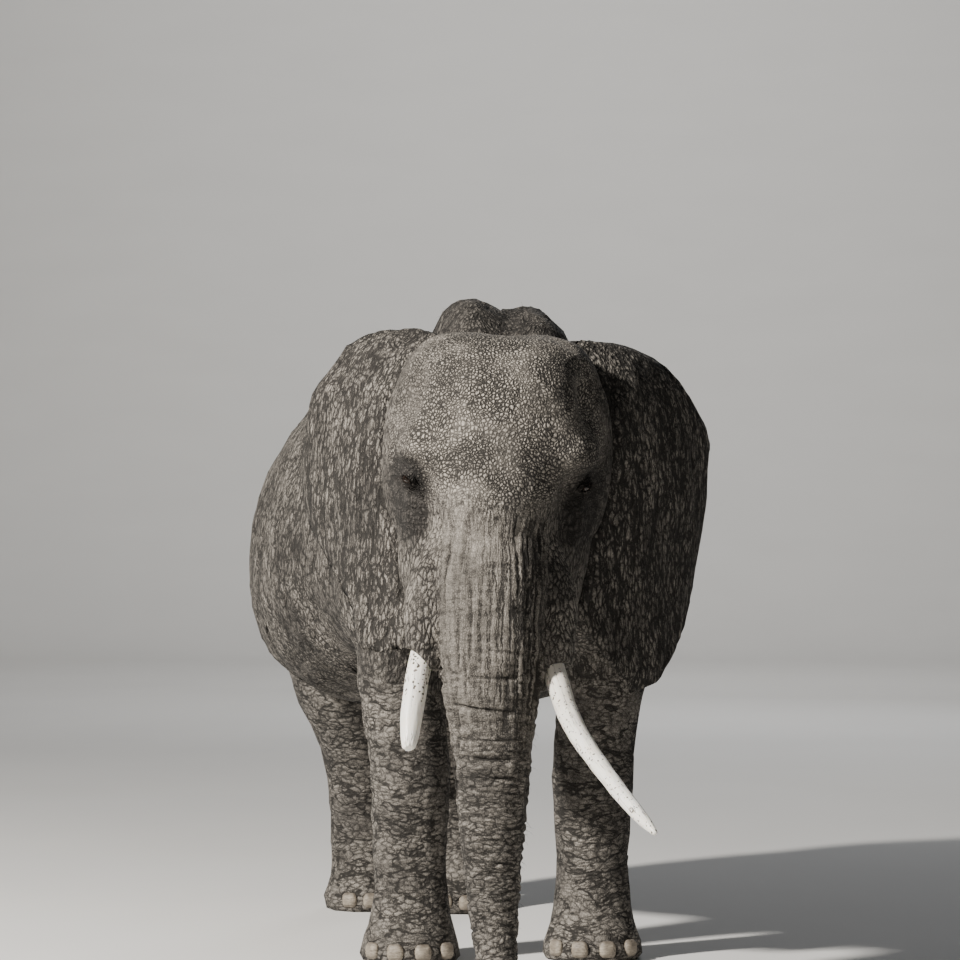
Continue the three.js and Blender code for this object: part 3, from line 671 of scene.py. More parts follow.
def trunkLift(points, along, angle):
    reach, height = trunkFolds["furrowSize"]
    ring = wrapRound(angle, trunkFolds["around"], along)
    fade = 1 - smoothStep(along, *trunkFolds["furrowEnd"])
    furrow = creases(ring * (1, 1, reach / height), reach, 0.25, 11)
    lift = -trunkFolds["furrow"] * fade * furrow * (0.75 + 0.35 * np.cos(angle * 2 + math.pi))
    low = smoothStep(along, *trunkFolds["ringStart"])
    reach, height = trunkFolds["ringSize"]
    wrinkle = creases(ring * (height / reach, height / reach, 1), height, 0.24, 23)
    wander = trunkFolds["wander"] * bumpyNoise(points, 0.25, 29, 2)
    rings = furrows(along / (trunkFolds["ringSpacing"] * (1.1 - 0.15 * along)) + wander) - 0.6
    lift += trunkFolds["ring"] * (0.6 * low * rings - wrinkle * (0.12 + 0.88 * low))
    uneven, size = trunkFolds["sagNoise"]
    sag = trunkFolds["sag"] * np.cos(angle) + uneven * bumpyNoise(points, size, 31)
    broad = 1 - smoothStep(np.abs(angle - trunkFolds["broadAt"]), *trunkFolds["broad"])
    for height in trunkFolds["deep"]:
        near = np.exp(-(((points[:, 2] - height + sag) / trunkFolds["deepWidth"]) ** 2))
        lift -= trunkFolds["deepDepth"] * broad * near
    sheath = smoothStep(np.abs(points[:, 0]), *trunkFolds["sheathAside"])
    sheath *= smoothStep(points[:, 2], *trunkFolds["sheathAbove"])
    return lift * (1 - 0.8 * sheath)


def earLift(points):
    drape = bumpyNoise(points * (1, 1, 0.32), earFolds["drapeSize"], 41, 2)
    wrinkled = creases(points * (1, 1, 0.28), earFolds["wrinkleSize"], 0.2, 43, 3)
    return earFolds["drape"] * drape - earFolds["wrinkle"] * wrinkled


def legLift(points):
    wander = legFolds["wander"] * bumpyNoise(points, 0.24, 51, 2)
    patchy = np.clip(0.3 + 0.8 * bumpyNoise(points * (1, 1, 0.7), 0.3, 57), 0, 1.2)
    rings = furrows(points[:, 2] / legFolds["spacing"] + wander) - 0.6
    wrinkled = creases(points * (0.45, 0.45, 1), legFolds["wrinkleSize"], 0.2, 53, 3)
    lumps = legFolds["lump"] * bumpyNoise(points, legFolds["lumpSize"], 59, 2)
    return legFolds["depth"] * patchy * rings - legFolds["wrinkle"] * wrinkled + lumps


def bodyLift(points):
    slanted = points + points[:, [2]] * (0, 0.45, 0)
    wrinkled = creases(slanted * (0.6, 1, 0.32), bodyFolds["wrinkleSize"], 0.2, 61, 3)
    wander = bodyFolds["wander"] * bumpyNoise(points * (1, 1, 0.6), 0.4, 63, 2)
    patchy = np.clip(0.2 + 0.8 * bumpyNoise(points, 0.5, 67), 0, 1.2)
    folds = bodyFolds["depth"] * patchy * (furrows(slanted[:, 1] / bodyFolds["spacing"] + wander) - 0.6)
    lift = folds - bodyFolds["wrinkle"] * wrinkled
    lift += bodyFolds["lump"] * bumpyNoise(points, bodyFolds["lumpSize"], 71, 2)
    high = smoothStep(points[:, 2], *humpCreases["from"])
    high *= 1 - smoothStep(points[:, 1], *humpCreases["back"])
    aside = points[:, 0] + humpCreases["wander"] * bumpyNoise(points, 0.12, 73)
    for at in humpCreases["at"]:
        lift -= humpCreases["depth"] * high * np.exp(-(((aside - at) / humpCreases["width"]) ** 2))
    return lift


def trunkPlaces(points):
    # How far along the trunk each place is, and its angle round it from the front, in head space.
    _, along, offset = nearLine(points, trunkLine)
    return along, np.arctan2(offset[:, 0], -offset[:, 1])


nailNames = [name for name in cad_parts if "_toenail_" in name]
cuticle = {"rise": 0.009, "width": 0.16, "at": 1.12, "reach": 0.12}


def cuticleLift(places):
    # A roll of skin round each toenail, and a dip between neighbours.
    lift = np.zeros(len(places))
    for name in nailNames:
        low, high = (np.array(corner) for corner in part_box(name))
        centre, half = (low + high) / 2, (high - low) / 2
        near = np.linalg.norm(places - centre, axis=1) < cuticle["reach"]
        away = places[near] - centre
        level = np.hypot(away[:, 0], away[:, 1]) / max(half[0], half[1])
        out = np.hypot(level, away[:, 2] / half[2])
        lift[near] += cuticle["rise"] * np.exp(-(((out - cuticle["at"]) / cuticle["width"]) ** 2))
    return lift


def fillCleft(places, spread):
    body = places - home
    share = smoothStep(body[:, 2], *cleft["from"]) * (1 - smoothStep(body[:, 1], *humpCreases["back"]))
    share *= smoothStep(body[:, 1], *cleft["front"])
    share *= np.exp(-(((body[:, 0] - cleft["middle"]) / cleft["spread"]) ** 2))
    share = share[:, None]
    return repeat(lambda now: now + share * (spread(now) - now), places, cleft["passes"])


def foldsOf(share, lift, *given):
    # Works folds out only where their share is more than nothing.
    shown = share > 0
    folds = np.zeros(len(share))
    folds[shown] = share[shown] * lift(*(values[shown] for values in given))
    return folds


# How the folds run from zone to zone, and where they fade: heights in metres and passes of evening out.
foldBlend = {
    "passes": 10, "zonePasses": 14, "rimPasses": 7, "flat": (0.72, 0.95), "trunkTop": (2.08, 2.26),
    "sole": (0.015, 0.09), "groove": 0.005,
}


def foldSkin(skin, zones):
    # Folds the skin. Returns the softened shares of the zones, and how deep in a groove each vertex is.
    mesh = skin.data
    spread = makeSpreader(mesh)
    setPlaces(mesh, fillCleft(getPlaces(mesh), spread))
    places, normals = getPlaces(mesh), getNormals(mesh)
    even = repeat(spread, normals, foldBlend["passes"])
    flat = smoothStep(np.linalg.norm(even, axis=1), *foldBlend["flat"])
    soft = {zone: repeat(spread, share, foldBlend["zonePasses"]) for zone, share in zones.items()}
    body, head = places - home, toHead(places)
    along, angle = trunkPlaces(head)
    low = 1 - smoothStep(head[:, 2], *foldBlend["trunkTop"])
    snout = soft["head"] * faceShare(head) * low
    soft["trunk"] = soft["trunk"] * low + snout
    soft["head"] = np.clip(soft["head"] - snout, 0, 1)
    folds = foldsOf(soft["head"], headLift, head) + foldsOf(soft["trunk"], trunkLift, head, along, angle)
    folds += foldsOf(soft["ear"] * flat, earLift, body)
    folds += foldsOf(soft["foreleg"] + soft["hindleg"] + soft["foot"] * 0.5, legLift, body)
    folds += foldsOf(soft["torso"] + soft["neck"], bodyLift, body)
    folds -= earFolds["rootGroove"] * np.clip(4 * soft["ear"] * soft["head"], 0, 1)
    folds *= smoothStep(places[:, 2], *foldBlend["sole"])
    folds += soft["foot"] * cuticleLift(places)
    fine = spread(spread(normals))
    fine /= np.linalg.norm(fine, axis=1)[:, None] + 1e-9
    shrink = soft["ear"] * zones["ear"] * (skinBuild["earSwell"] - skinBuild["swell"])
    places = places + fine * (folds - shrink)[:, None]
    fromBulge = np.hypot(body[:, 0] - rimBulge["at"][0], body[:, 2] - rimBulge["at"][1])
    bulge = soft["ear"] * np.exp(-((fromBulge / rimBulge["size"]) ** 2))
    places = places + bulge[:, None] * np.array(rimBulge["way"])
    rim = (soft["ear"] * (1 - flat) * 0.6)[:, None]
    setPlaces(mesh, repeat(lambda now: now + rim * (spread(now) - now), places, foldBlend["rimPasses"]))
    wide = repeat(spread, folds, foldBlend["passes"])
    return soft, np.clip((wide - folds) / foldBlend["groove"], 0, 1)


# How far each sheath's skin hangs down over its tusk, on the side next to the trunk and on the outer side.
lips = {
    "left_tusk": {"inner": 0.075, "outer": 0.050},
    "right_tusk_broken": {"inner": 0.10, "outer": 0.0},
    "from": (1.58, 1.72), "reach": (0.075, 0.13), "half": 0.055,
    "front": (-1.36, -1.26), "above": (1.38, 1.48), "least": 0.001,
}


def hangLips(skin, soft):
    mesh = skin.data
    places = getPlaces(mesh)
    head = toHead(places)
    for name in tuskLines:
        root, knee = (np.array(point) for point in tuskLines[name][:2])
        lean = (knee - root) / np.linalg.norm(knee - root)
        away = head - root
        away = away - (away @ lean)[:, None] * lean
        inward = np.clip(-np.sign(root[0]) * away[:, 0] / lips["half"], -1, 1)
        hang = np.interp(inward, (-1, 1), (lips[name]["outer"], lips[name]["inner"]))
        hang *= 1 - smoothStep(np.linalg.norm(away, axis=1), *lips["reach"])
        hang *= 1 - smoothStep(head[:, 2], *lips["from"])
        hang *= np.clip(soft["head"] + soft["trunk"], 0, 1)
        hang *= 1 - smoothStep(head[:, 1], *lips["front"])
        hang *= smoothStep(head[:, 2], *lips["above"])
        moved = fromHead(head + lean * hang[:, None])
        places = np.where((hang > lips["least"])[:, None], moved, places)
    setPlaces(mesh, places)


# ------------------------------------------------------------ eyes and lids

lids = {
    "radius": 0.0225, "thick": 0.0045, "length": 0.032, "height": 0.0135, "slant": 38,
    "reach": 0.13, "forward": 0.95, "blend": 0.02, "rim": 0.003, "curve": 1.7,
    "rimAt": (1.22, 0.16), "creaseWidth": 0.2, "open": (0.88, 1.08), "inside": 0.006,
    # Folds over and under the slit: how far out, how deep, and whether above (1) or below (-1).
    "creases": (
        (1.65, 0.006, 1), (2.2, 0.008, 1), (3.0, 0.007, 1),
        (1.6, 0.006, -1), (2.2, 0.008, -1), (2.9, 0.008, -1), (3.7, 0.007, -1), (4.6, 0.006, -1),
    ),
}


def eyeFrame(side, skin):
    # Outward, along the slit towards the trunk, and up, at one eye.
    centre = np.array(eyeCentres[side])
    places, normals = getPlaces(skin.data), getNormals(skin.data)
    near = np.linalg.norm(places - centre, axis=1) < 0.09
    outward = normals[near].mean(0)
    outward /= np.linalg.norm(outward)
    outward += lids["forward"] * np.array([0, -1, 0])
    outward[2] *= 0.3
    outward /= np.linalg.norm(outward)
    level = np.cross(outward, (0, 0, 1))
    level /= np.linalg.norm(level)
    if level[1] > 0:
        level = -level
    up = np.cross(level, outward)
    up *= np.sign(up[2])
    slant = math.radians(lids["slant"])
    along = level * math.cos(slant) - up * math.sin(slant)
    return centre, outward, along, up * math.cos(slant) + level * math.sin(slant)


def slitDistance(a, b):
    # 1 on the edge of the almond between the lids, less inside it.
    curve = lids["curve"]
    return ((np.abs(a) / lids["length"]) ** curve + (np.abs(b) / lids["height"]) ** curve) ** (1 / curve)


def lidHeight(across):
    outer = lids["radius"] + lids["thick"]
    inner = np.minimum(across, 0.8 * outer)
    dome = np.sqrt(outer**2 - inner**2)
    slope = inner / dome
    return dome - np.clip(across - inner, 0, None) * slope


def shapeLids(skin, eye):
    centre, outward, along, up = eye
    places = getPlaces(skin.data)
    away = places - centre
    near = (np.linalg.norm(away, axis=1) < lids["reach"]) & (away @ outward > -0.07)
    a, b, h = (away[near] @ axis for axis in (along, up, outward))
    across = np.hypot(a, b)
    slit = slitDistance(a, b)
    lid = lidHeight(across)
    gap = np.clip(lids["blend"] - np.abs(h - lid), 0, None) / lids["blend"]
    raised = np.maximum(h, lid) + gap**2 * lids["blend"] / 4
    raised = h + (raised - h) * (1 - smoothStep(across, 0.6 * lids["reach"], lids["reach"]))
    for place, depth, half in lids["creases"]:
        line = np.exp(-(((slit - place) / lids["creaseWidth"]) ** 2))
        raised -= depth * line * smoothStep(half * b, -0.004, 0.006)
    rimAt, rimWidth = lids["rimAt"]
    raised += lids["rim"] * np.exp(-(((slit - rimAt) / rimWidth) ** 2))
    ball = np.sqrt(np.clip(lids["radius"] ** 2 - across**2, 0, None))
    opened = 1 - smoothStep(slit, *lids["open"])
    target = raised * (1 - opened) + (ball - lids["inside"]) * opened
    places[near] += outward * (target - h)[:, None]
    setPlaces(skin.data, places)


# Darkening round and under each eye, in head space: where, how wide, and how dark. It is partly the skin's own
# dark stain there and partly painted shade in the hollow under the eye.
eyeSkinAndShadows = [
    ((0.430, -1.25, 2.35), (0.080, 0.30, 0.085), 1.6),
    ((0.400, -1.25, 2.22), (0.095, 0.30, 0.100), 1.6),
    ((0.380, -1.25, 2.09), (0.080, 0.30, 0.100), 0.9),
]


def addValues(mesh, name, values):
    attribute = mesh.attributes.new(name, "FLOAT", "POINT")
    attribute.data.foreach_set("value", values.astype(np.float32))


def addPlaces(mesh, name, places):
    attribute = mesh.attributes.new(name, "FLOAT_VECTOR", "POINT")
    attribute.data.foreach_set("vector", places.astype(np.float32).ravel())


def wrapRound(angle, radius, along):
    # Places round a straight stem, from places round a bent one.
    return np.stack([np.sin(angle) * radius, np.cos(angle) * radius, along], 1)


def readValues(mesh, name):
    values = np.empty(len(mesh.vertices), np.float32)
    mesh.attributes[name].data.foreach_get("value", values)
    return values.astype(float)


# How much darker the colour is made on the shoulders and at the right temple, and where each begins.
darkPatches = {"shoulders": 0.62, "above": (2.70, 2.86), "back": (0.6, 1.2), "temple": 0.55}
# Where each kind of skin begins and is whole: out from the middle, up, back, or along the trunk.
marks = {
    "sheathAside": (0.20, 0.27), "sheathAbove": (1.40, 1.50), "upperTrunk": (0.75, 1.35),
    "cobbledAbove": (2.12, 2.32), "cobbledAside": (0.47, 0.57), "cobbledBack": (-1.15, -0.95),
}


def markSkin(skin, soft, groove):
    # Shares that the material reads. They stay with the vertices when the mesh is thinned.
    mesh = skin.data
    head = toHead(getPlaces(mesh))
    along, angle = trunkPlaces(head)
    aside = np.abs(head[:, 0])
    sheath = smoothStep(aside, *marks["sheathAside"]) * smoothStep(head[:, 2], *marks["sheathAbove"])
    addValues(mesh, "headShare", soft["head"] + soft["trunk"] * sheath)
    cobbled = smoothStep(head[:, 2], *marks["cobbledAbove"]) * (1 - smoothStep(aside, *marks["cobbledAside"]))
    cobbled *= 1 - smoothStep(head[:, 1], *marks["cobbledBack"])
    addValues(mesh, "cobbled", soft["head"] * cobbled)
    trunk = soft["trunk"] * (1 - sheath)
    addValues(mesh, "upperTrunk", trunk * (1 - smoothStep(along, *marks["upperTrunk"])))
    addValues(mesh, "trunkShare", trunk)
    addValues(mesh, "earShare", soft["ear"])
    addValues(mesh, "legShare", soft["foreleg"] + soft["hindleg"] + soft["foot"])
    addValues(mesh, "bodyShare", soft["torso"] + soft["neck"] + soft["tail"])
    # How deep in a groove each vertex is; the material paints shade into the grooves from this.
    addValues(mesh, "groove", groove)
    # Painted shade round and under each eye, over the skin's own dark stain there.
    shade = np.zeros(len(head))
    for side in (-1, 1):
        mirrored = head * (side, 1, 1)
        for at, size, strength in eyeSkinAndShadows:
            shade += strength * dab(mirrored, at, size)
    shade = np.clip(shade, 0, 1) * (1 - 0.9 * faceShare(head))
    addValues(mesh, "eyeShade", shade)
    body = getPlaces(mesh) - home
    shoulders = smoothStep(body[:, 2], *darkPatches["above"]) * soft["torso"]
    shoulders *= 1 - smoothStep(body[:, 1], *darkPatches["back"])
    temple = dab(head * (-1, 1, 1), (0.44, -1.20, 2.64), (0.08, 0.30, 0.20))
    dark = np.maximum(darkPatches["shoulders"] * shoulders, darkPatches["temple"] * temple)
    addValues(mesh, "darkSkin", np.maximum(shade, dark))
    addPlaces(mesh, "trunkPlace", wrapRound(angle, trunkFolds["around"], along))


def finishSkin(skin, keep):
    # Thins the mesh, least where keep is high.
    group = skin.vertex_groups.new(name="thin")
    level = np.round((1 - keep) * 10) / 10
    for value in np.unique(level):
        group.add(np.flatnonzero(level == value).tolist(), float(value), "REPLACE")
    triangles = sum(len(polygon.vertices) - 2 for polygon in skin.data.polygons)
    applyModifier(
        skin,
        "DECIMATE",
        ratio=min(skinBuild["triangles"] / triangles, 1),
        use_collapse_triangulate=True,
        vertex_group="thin",
        vertex_group_factor=1.0,
    )
    skin.data.shade_smooth()
    print("skin", len(skin.data.polygons), "triangles")


# ------------------------------------------------------------ skin material

skinLook = {
    # the colour of cracks and creases, partly their own dark colour and partly painted shade, and of the
    # painted shade in grooves
    "crack": (0.014, 0.0125, 0.011),
    "dark": (0.040, 0.036, 0.032),
    # the colour of the painted shade and dark skin round the eyes, and of the darker shoulders and temple
    "shade": (0.046, 0.041, 0.037),
    "mid": (0.115, 0.104, 0.092),
    "light": (0.245, 0.223, 0.197),
    "dust": (0.60, 0.545, 0.47),
    "roughness": 0.80,
}


# Cobbles on the forehead, fine grain everywhere, and cells and lines that run with the lie of the skin.
# Each has its number to a metre, its cracks' width, its stretch, a seed, its relief in metres and its darkness.
# The last two change for the grain, where there are cobbles, and for the rings, up the trunk.
skinCracks = {
    "cobble": ("cells", 64, 0.24, (1, 1, 1), 0, 0.0060, 1.0),
    "grain": ("cells", 112, 0.18, (1, 1, 0.8), 3, (0.0020, 0.0008), (0.42, 0.15)),
    "upright": ("cells", 50, 0.17, (1, 1, 0.32), 4, 0.0072, 0.85),
    "level": ("cells", 46, 0.18, (0.45, 0.45, 1), 6, 0.0060, 0.75),
    "ear": ("lines", 22, 0.055, (1, 1, 0.22), 5, 0.0090, 0.80),
    "bark": ("lines", 10, 0.040, (1, 1, 0.20), 19, 0.0110, 0.75),
    "lid": ("lines", 20, 0.075, (0.5, 0.5, 1), 27, 0.0060, 0.80),
    "body": ("lines", 15, 0.036, (0.55, 1, 0.42), 7, 0.0100, 0.75),
    "leg": ("lines", 13, 0.045, (0.40, 0.40, 1), 9, 0.0075, 0.85),
    "ring": ("lines", 26, 0.060, (0.25, 0.25, 1), 13, (0.0048, 0.00168), (0.45, 0.18)),
    "furrow": ("lines", 36, 0.085, (1, 1, 0.05), 17, 0.0070, 0.88),
}


def makeSkinMaterial():
    material, tree, shader = newMaterial("elephantSkin")
    cellGroup, lineGroup = makeCrackGroup(), makeWrinkleGroup()
    place = objectPlace(tree)
    bent = bend(tree, bend(tree, place, 7.0, 0.05), 75.0, 0.009)
    trunkAt = bend(tree, attribute(tree, "trunkPlace", "Vector"), 45.0, 0.012)
    head, trunk, ear, leg, body = (
        attribute(tree, name) for name in ("headShare", "trunkShare", "earShare", "legShare", "bodyShare")
    )
    cobbled, upper, groove = (attribute(tree, name) for name in ("cobbled", "upperTrunk", "groove"))
    plain = calc(tree, "SUBTRACT", head, cobbled, clamp=True)
    lower = calc(tree, "SUBTRACT", trunk, upper, clamp=True)
    strong = remap(tree, mottle(tree, place, 5.5, 3.0), 0.36, 0.58, 0.62, 1.15)
    eyeShade, darkSkin = attribute(tree, "eyeShade"), attribute(tree, "darkSkin")
    # The upright furrows are closest and darkest on the trunk's left.
    across = addNode(tree, "ShaderNodeSeparateXYZ", {0: attribute(tree, "trunkPlace", "Vector")}).outputs["X"]
    furrowed = times(tree, upper, remap(tree, across, -0.07, 0.09, 0.30, 1.0))
    hanging = total(tree, (ear, 1.0), (body, 0.9), (plain, 1.0))
    ringed = total(tree, (leg, 0.7), (lower, 0.7))
    barked = total(tree, (ear, 1.0), (body, 0.5))

    shares = {
        "cobble": (cobbled, strong), "upright": (hanging, strong), "level": (ringed, strong), "ear": (ear,),
        "bark": (barked,), "lid": (eyeShade,), "body": (body,), "leg": (leg,), "ring": (trunk,),
        "furrow": (furrowed,), "grain": (),
    }
    changing = {"grain": cobbled, "ring": upper}
    domes, reliefs, darks = {}, [], []
    for name, (kind, perMetre, width, stretch, seed, rise, dark) in skinCracks.items():
        group = cellGroup if kind == "cells" else lineGroup
        at = trunkAt if name in ("ring", "furrow") else bent
        crack, domes[name] = cracks(tree, group, at, perMetre, width, stretch, seed)
        if name in changing:
            rise, dark = (remap(tree, changing[name], 0, 1, *pair) for pair in (rise, dark))
        reliefs.append((domes[name], *shares[name], rise))
        darks.append((crack, *shares[name], dark))
    addRelief(tree, shader, total(tree, *reliefs, (mottle(tree, place, 260.0, 2.0), 0.0008)))
    # Darker in the cracks and creases, partly their own colour and partly painted shade, and painted shade in
    # the grooves.
    crack = total(tree, *darks, (groove, 0.55))
    blotch = {"Vector": place, "Scale": 3.2, "Detail": 6.0, "Roughness": 0.66}
    tone = remap(tree, addNode(tree, "ShaderNodeTexNoise", blotch).outputs["Fac"], 0.38, 0.64)
    color = mixColor(tree, tone, skinLook["mid"], skinLook["light"])
    spots = remap(tree, mottle(tree, place, 38.0, 4.0), 0.46, 0.64, 0, 0.85)
    color = mixColor(tree, spots, color, skinLook["dark"])
    facing = addNode(tree, "ShaderNodeNewGeometry").outputs["Normal"]
    upward = addNode(tree, "ShaderNodeSeparateXYZ", {0: facing}).outputs["Z"]
    tops = total(
        tree,
        (domes["cobble"], cobbled),
        (domes["grain"], 0.35),
        (domes["upright"], hanging),
        (domes["level"], ringed),
    )
    skyward = remap(tree, upward, -0.2, 1.0)
    dusty = total(tree, (skyward, 0.30), (cobbled, 0.24), (tone, 0.42), (upper, 0.62))
    dusty = times(tree, dusty, remap(tree, tops, 0.2, 1.05, 0.24, 1.0))
    color = mixColor(tree, times(tree, dusty, 0.90), color, skinLook["dust"])
    # Painted shade and dark skin round the eyes, and the darker shoulders and right temple.
    color = mixColor(tree, times(tree, darkSkin, 0.90), color, skinLook["shade"])
    # Cracks and creases partly darker in colour and partly painted shade; grooves get painted shade.
    color = mixColor(tree, calc(tree, "MINIMUM", crack, 0.93), color, skinLook["crack"])
    tree.links.new(color, shader.inputs["Base Color"])
    rough = remap(tree, crack, 0, 1, skinLook["roughness"], 0.95)
    tree.links.new(rough, shader.inputs["Roughness"])
    shader.inputs["Specular IOR Level"].default_value = 0.35
    return material


# ------------------------------------------------------------ eyeballs

eyeLook = {
    "segments": 64, "rings": 32, "cornea": 0.0018, "pupil": 0.20, "iris": 0.56,
    "brown": (0.022, 0.011, 0.005), "amber": (0.050, 0.026, 0.012), "white": (0.030, 0.023, 0.019),
    "black": (0.004, 0.003, 0.003), "vein": (0.10, 0.035, 0.02),
}


def makeEyeball(side, eye):
    centre, outward, along, up = eye
    bpy.ops.object.select_all(action="DESELECT")
    bpy.ops.mesh.primitive_uv_sphere_add(
        segments=eyeLook["segments"], ring_count=eyeLook["rings"], radius=lids["radius"], location=centre
    )
    ball = bpy.context.object
    ball.name = ball.data.name = side + "_eyeball"
    bpy.ops.object.transform_apply(location=True, rotation=True, scale=True)
    places = getPlaces(ball.data)
    way = (places - centre) / lids["radius"]
    turned = np.arccos(np.clip(way @ outward, -1, 1))
    bulge = eyeLook["cornea"] * (1 - smoothStep(turned, 0.2, 0.66))
    setPlaces(ball.data, places + way * bulge[:, None])
    addValues(ball.data, "fromPupil", turned)
    addValues(ball.data, "aroundPupil", np.arctan2(way @ up, way @ along))
    ball.data.shade_smooth()
    ball.data.materials.append(makeEyeMaterial())
    return ball


@cache
def makeEyeMaterial():
    material, tree, shader = newMaterial("elephantEye")
    turned, around = attribute(tree, "fromPupil"), attribute(tree, "aroundPupil")
    fibreAt = addNode(tree, "ShaderNodeCombineXYZ", {0: times(tree, around, 9.0), 1: turned})
    fibre = remap(tree, mottle(tree, fibreAt.outputs[0], 3.0, 4.0), 0.35, 0.65)
    color = mixColor(tree, fibre, eyeLook["brown"], eyeLook["amber"])
    outerIris = remap(tree, turned, eyeLook["iris"] - 0.16, eyeLook["iris"], smooth=True)
    color = mixColor(tree, outerIris, color, eyeLook["black"])
    place = objectPlace(tree)
    veins = remap(tree, mottle(tree, place, 420.0, 3.0), 0.5, 0.62)
    white = mixColor(tree, veins, eyeLook["white"], eyeLook["vein"])
    pastIris = remap(tree, turned, eyeLook["iris"], eyeLook["iris"] + 0.07, smooth=True)
    color = mixColor(tree, pastIris, color, white)
    inPupil = remap(tree, turned, eyeLook["pupil"] - 0.02, eyeLook["pupil"] + 0.03, 1.0, 0.0, smooth=True)
    color = mixColor(tree, inPupil, color, eyeLook["black"])
    tree.links.new(color, shader.inputs["Base Color"])
    wet = mottle(tree, place, 160.0, 2.0)
    tree.links.new(remap(tree, wet, 0.3, 0.7, 0.05, 0.12), shader.inputs["Roughness"])
    addRelief(tree, shader, times(tree, wet, 0.00012))
    shader.inputs["Coat Weight"].default_value = 1.0
    shader.inputs["Coat Roughness"].default_value = 0.03
    return material


# ------------------------------------------------------------ tusks

# The middle line of each tusk in head space, from its root to its end.
tuskLines = {
    "left_tusk": [
        (0.200, -1.40, 1.780), (0.288, -1.55, 1.510), (0.360, -1.76, 1.305),
        (0.497, -2.14, 1.115), (0.660, -2.55, 0.940), (0.728, -2.68, 0.875),
    ],
    "right_tusk_broken": [
        (-0.25, -1.36, 1.78), (-0.31, -1.54, 1.50), (-0.334, -1.66, 1.30), (-0.34, -1.77, 1.125),
    ],
}
tuskLook = {
    "swell": 0.0026, "levels": 3, "thick": 0.05, "wave": 0.0016, "groove": 0.0007, "chip": 0.004,
    "chipFrom": 0.05, "pits": 0.30, "pitsEnd": (0.62, 0.76),  # how far out the broken tusk is fully pitted
    "ivory": (0.93, 0.895, 0.81), "bright": (0.97, 0.955, 0.905), "stain": (0.42, 0.315, 0.19),
    "dirt": (0.060, 0.045, 0.030), "crack": (0.045, 0.033, 0.022),
}


def makeTusk(name, broken):
    tusk = finePiece(name, tuskLook, "_ivory")
    line = tuskLines[name]
    places, normals = getPlaces(tusk.data), getNormals(tusk.data)
    head = toHead(places)
    _, along, offset = nearLine(head, line)
    angle = np.arctan2(offset[:, 0], -offset[:, 1])
    length = sum(math.dist(a, b) for a, b in zip(line[:-1], line[1:]))
    around = wrapRound(angle, tuskLook["thick"], along)
    lift = tuskLook["wave"] * bumpyNoise(head, 0.09, 5, 2)
    lift -= tuskLook["groove"] * creases(around * (1, 1, 0.12), 0.012, 0.2, 9)
    if broken:
        end = smoothStep(along, length - tuskLook["chipFrom"], length - 0.1 * tuskLook["chipFrom"])
        lift += tuskLook["chip"] * end * bumpyNoise(head, 0.02, 15, 2)
    setPlaces(tusk.data, places + normals * lift[:, None])
    addValues(tusk.data, "tuskAlong", along / length)
    pitted = 1 - smoothStep(along / length, *tuskLook["pitsEnd"])
    addValues(tusk.data, "pitted", pitted if broken else np.full(len(along), tuskLook["pits"]))
    addPlaces(tusk.data, "tuskPlace", around)
    tusk.data.shade_smooth()
    tusk.data.materials.append(makeIvory())
    return tusk


@cache
def makeIvory():
    material, tree, shader = newMaterial("tuskIvory")
    place = objectPlace(tree)
    tuskAt, along = attribute(tree, "tuskPlace", "Vector"), attribute(tree, "tuskAlong")
    clouds = mottle(tree, place, 9.0, 5.0)
    streak = mottle(tree, vectorCalc(tree, "MULTIPLY", tuskAt, (1, 1, 0.05)), 170.0, 3.0)
    color = mixColor(tree, remap(tree, clouds, 0.35, 0.65), tuskLook["ivory"], tuskLook["bright"])
    color = mixColor(tree, remap(tree, streak, 0.52, 0.75, 0.0, 0.45), color, tuskLook["stain"])
    rootward = remap(tree, along, 0.30, 0.62, 1.0, 0.0, smooth=True)
    stained = times(tree, rootward, remap(tree, clouds, 0.36, 0.62, 0.0, 0.35))
    color = mixColor(tree, stained, color, tuskLook["stain"])
    specks = addNode(tree, "ShaderNodeTexVoronoi", {"Vector": bend(tree, place, 28.0, 0.03), "Scale": 66.0})
    pitted = attribute(tree, "pitted")
    speckSize = remap(tree, specks.outputs["Color"], 0.36, 0.76, -0.04, 0.34)
    speckSize = calc(tree, "ADD", speckSize, remap(tree, pitted, 0.3, 1.0, 0.0, 0.15))
    outside = calc(tree, "SUBTRACT", specks.outputs["Distance"], speckSize)
    speck = remap(tree, outside, -0.04, 0.03, 1.0, 0.0, smooth=True)
    speck = times(tree, speck, remap(tree, pitted, 0.0, 0.3))
    color = mixColor(tree, times(tree, speck, 0.95), color, tuskLook["dirt"])
    lineGroup = bpy.data.node_groups["skinWrinkles"]
    split, _ = cracks(tree, lineGroup, tuskAt, 26, 0.012, (1, 1, 0.10), 21)
    gate = remap(tree, clouds, 0.43, 0.53)
    color = mixColor(tree, times(tree, split, gate), color, tuskLook["crack"])
    tree.links.new(color, shader.inputs["Base Color"])
    relief = total(tree, (streak, 0.0004), (speck, -0.0012), (split, gate, -0.0010))
    addRelief(tree, shader, relief)
    tree.links.new(remap(tree, clouds, 0.3, 0.7, 0.30, 0.48), shader.inputs["Roughness"])
    shader.inputs["Subsurface Weight"].default_value = 0.08
    shader.inputs["Subsurface Radius"].default_value = (0.010, 0.006, 0.003)
    return material


# ------------------------------------------------------------ toenails

nailLook = {
    "swell": 0.002, "levels": 3, "ridge": 0.0008, "ridges": 34, "lump": 0.0012, "power": 3.2,
    "horn": (0.215, 0.182, 0.142), "pale": (0.36, 0.315, 0.25), "dirt": (0.085, 0.070, 0.056),
}


def centreOf(name):
    low, high = (np.array(corner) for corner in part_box(name))
    return (low + high) / 2


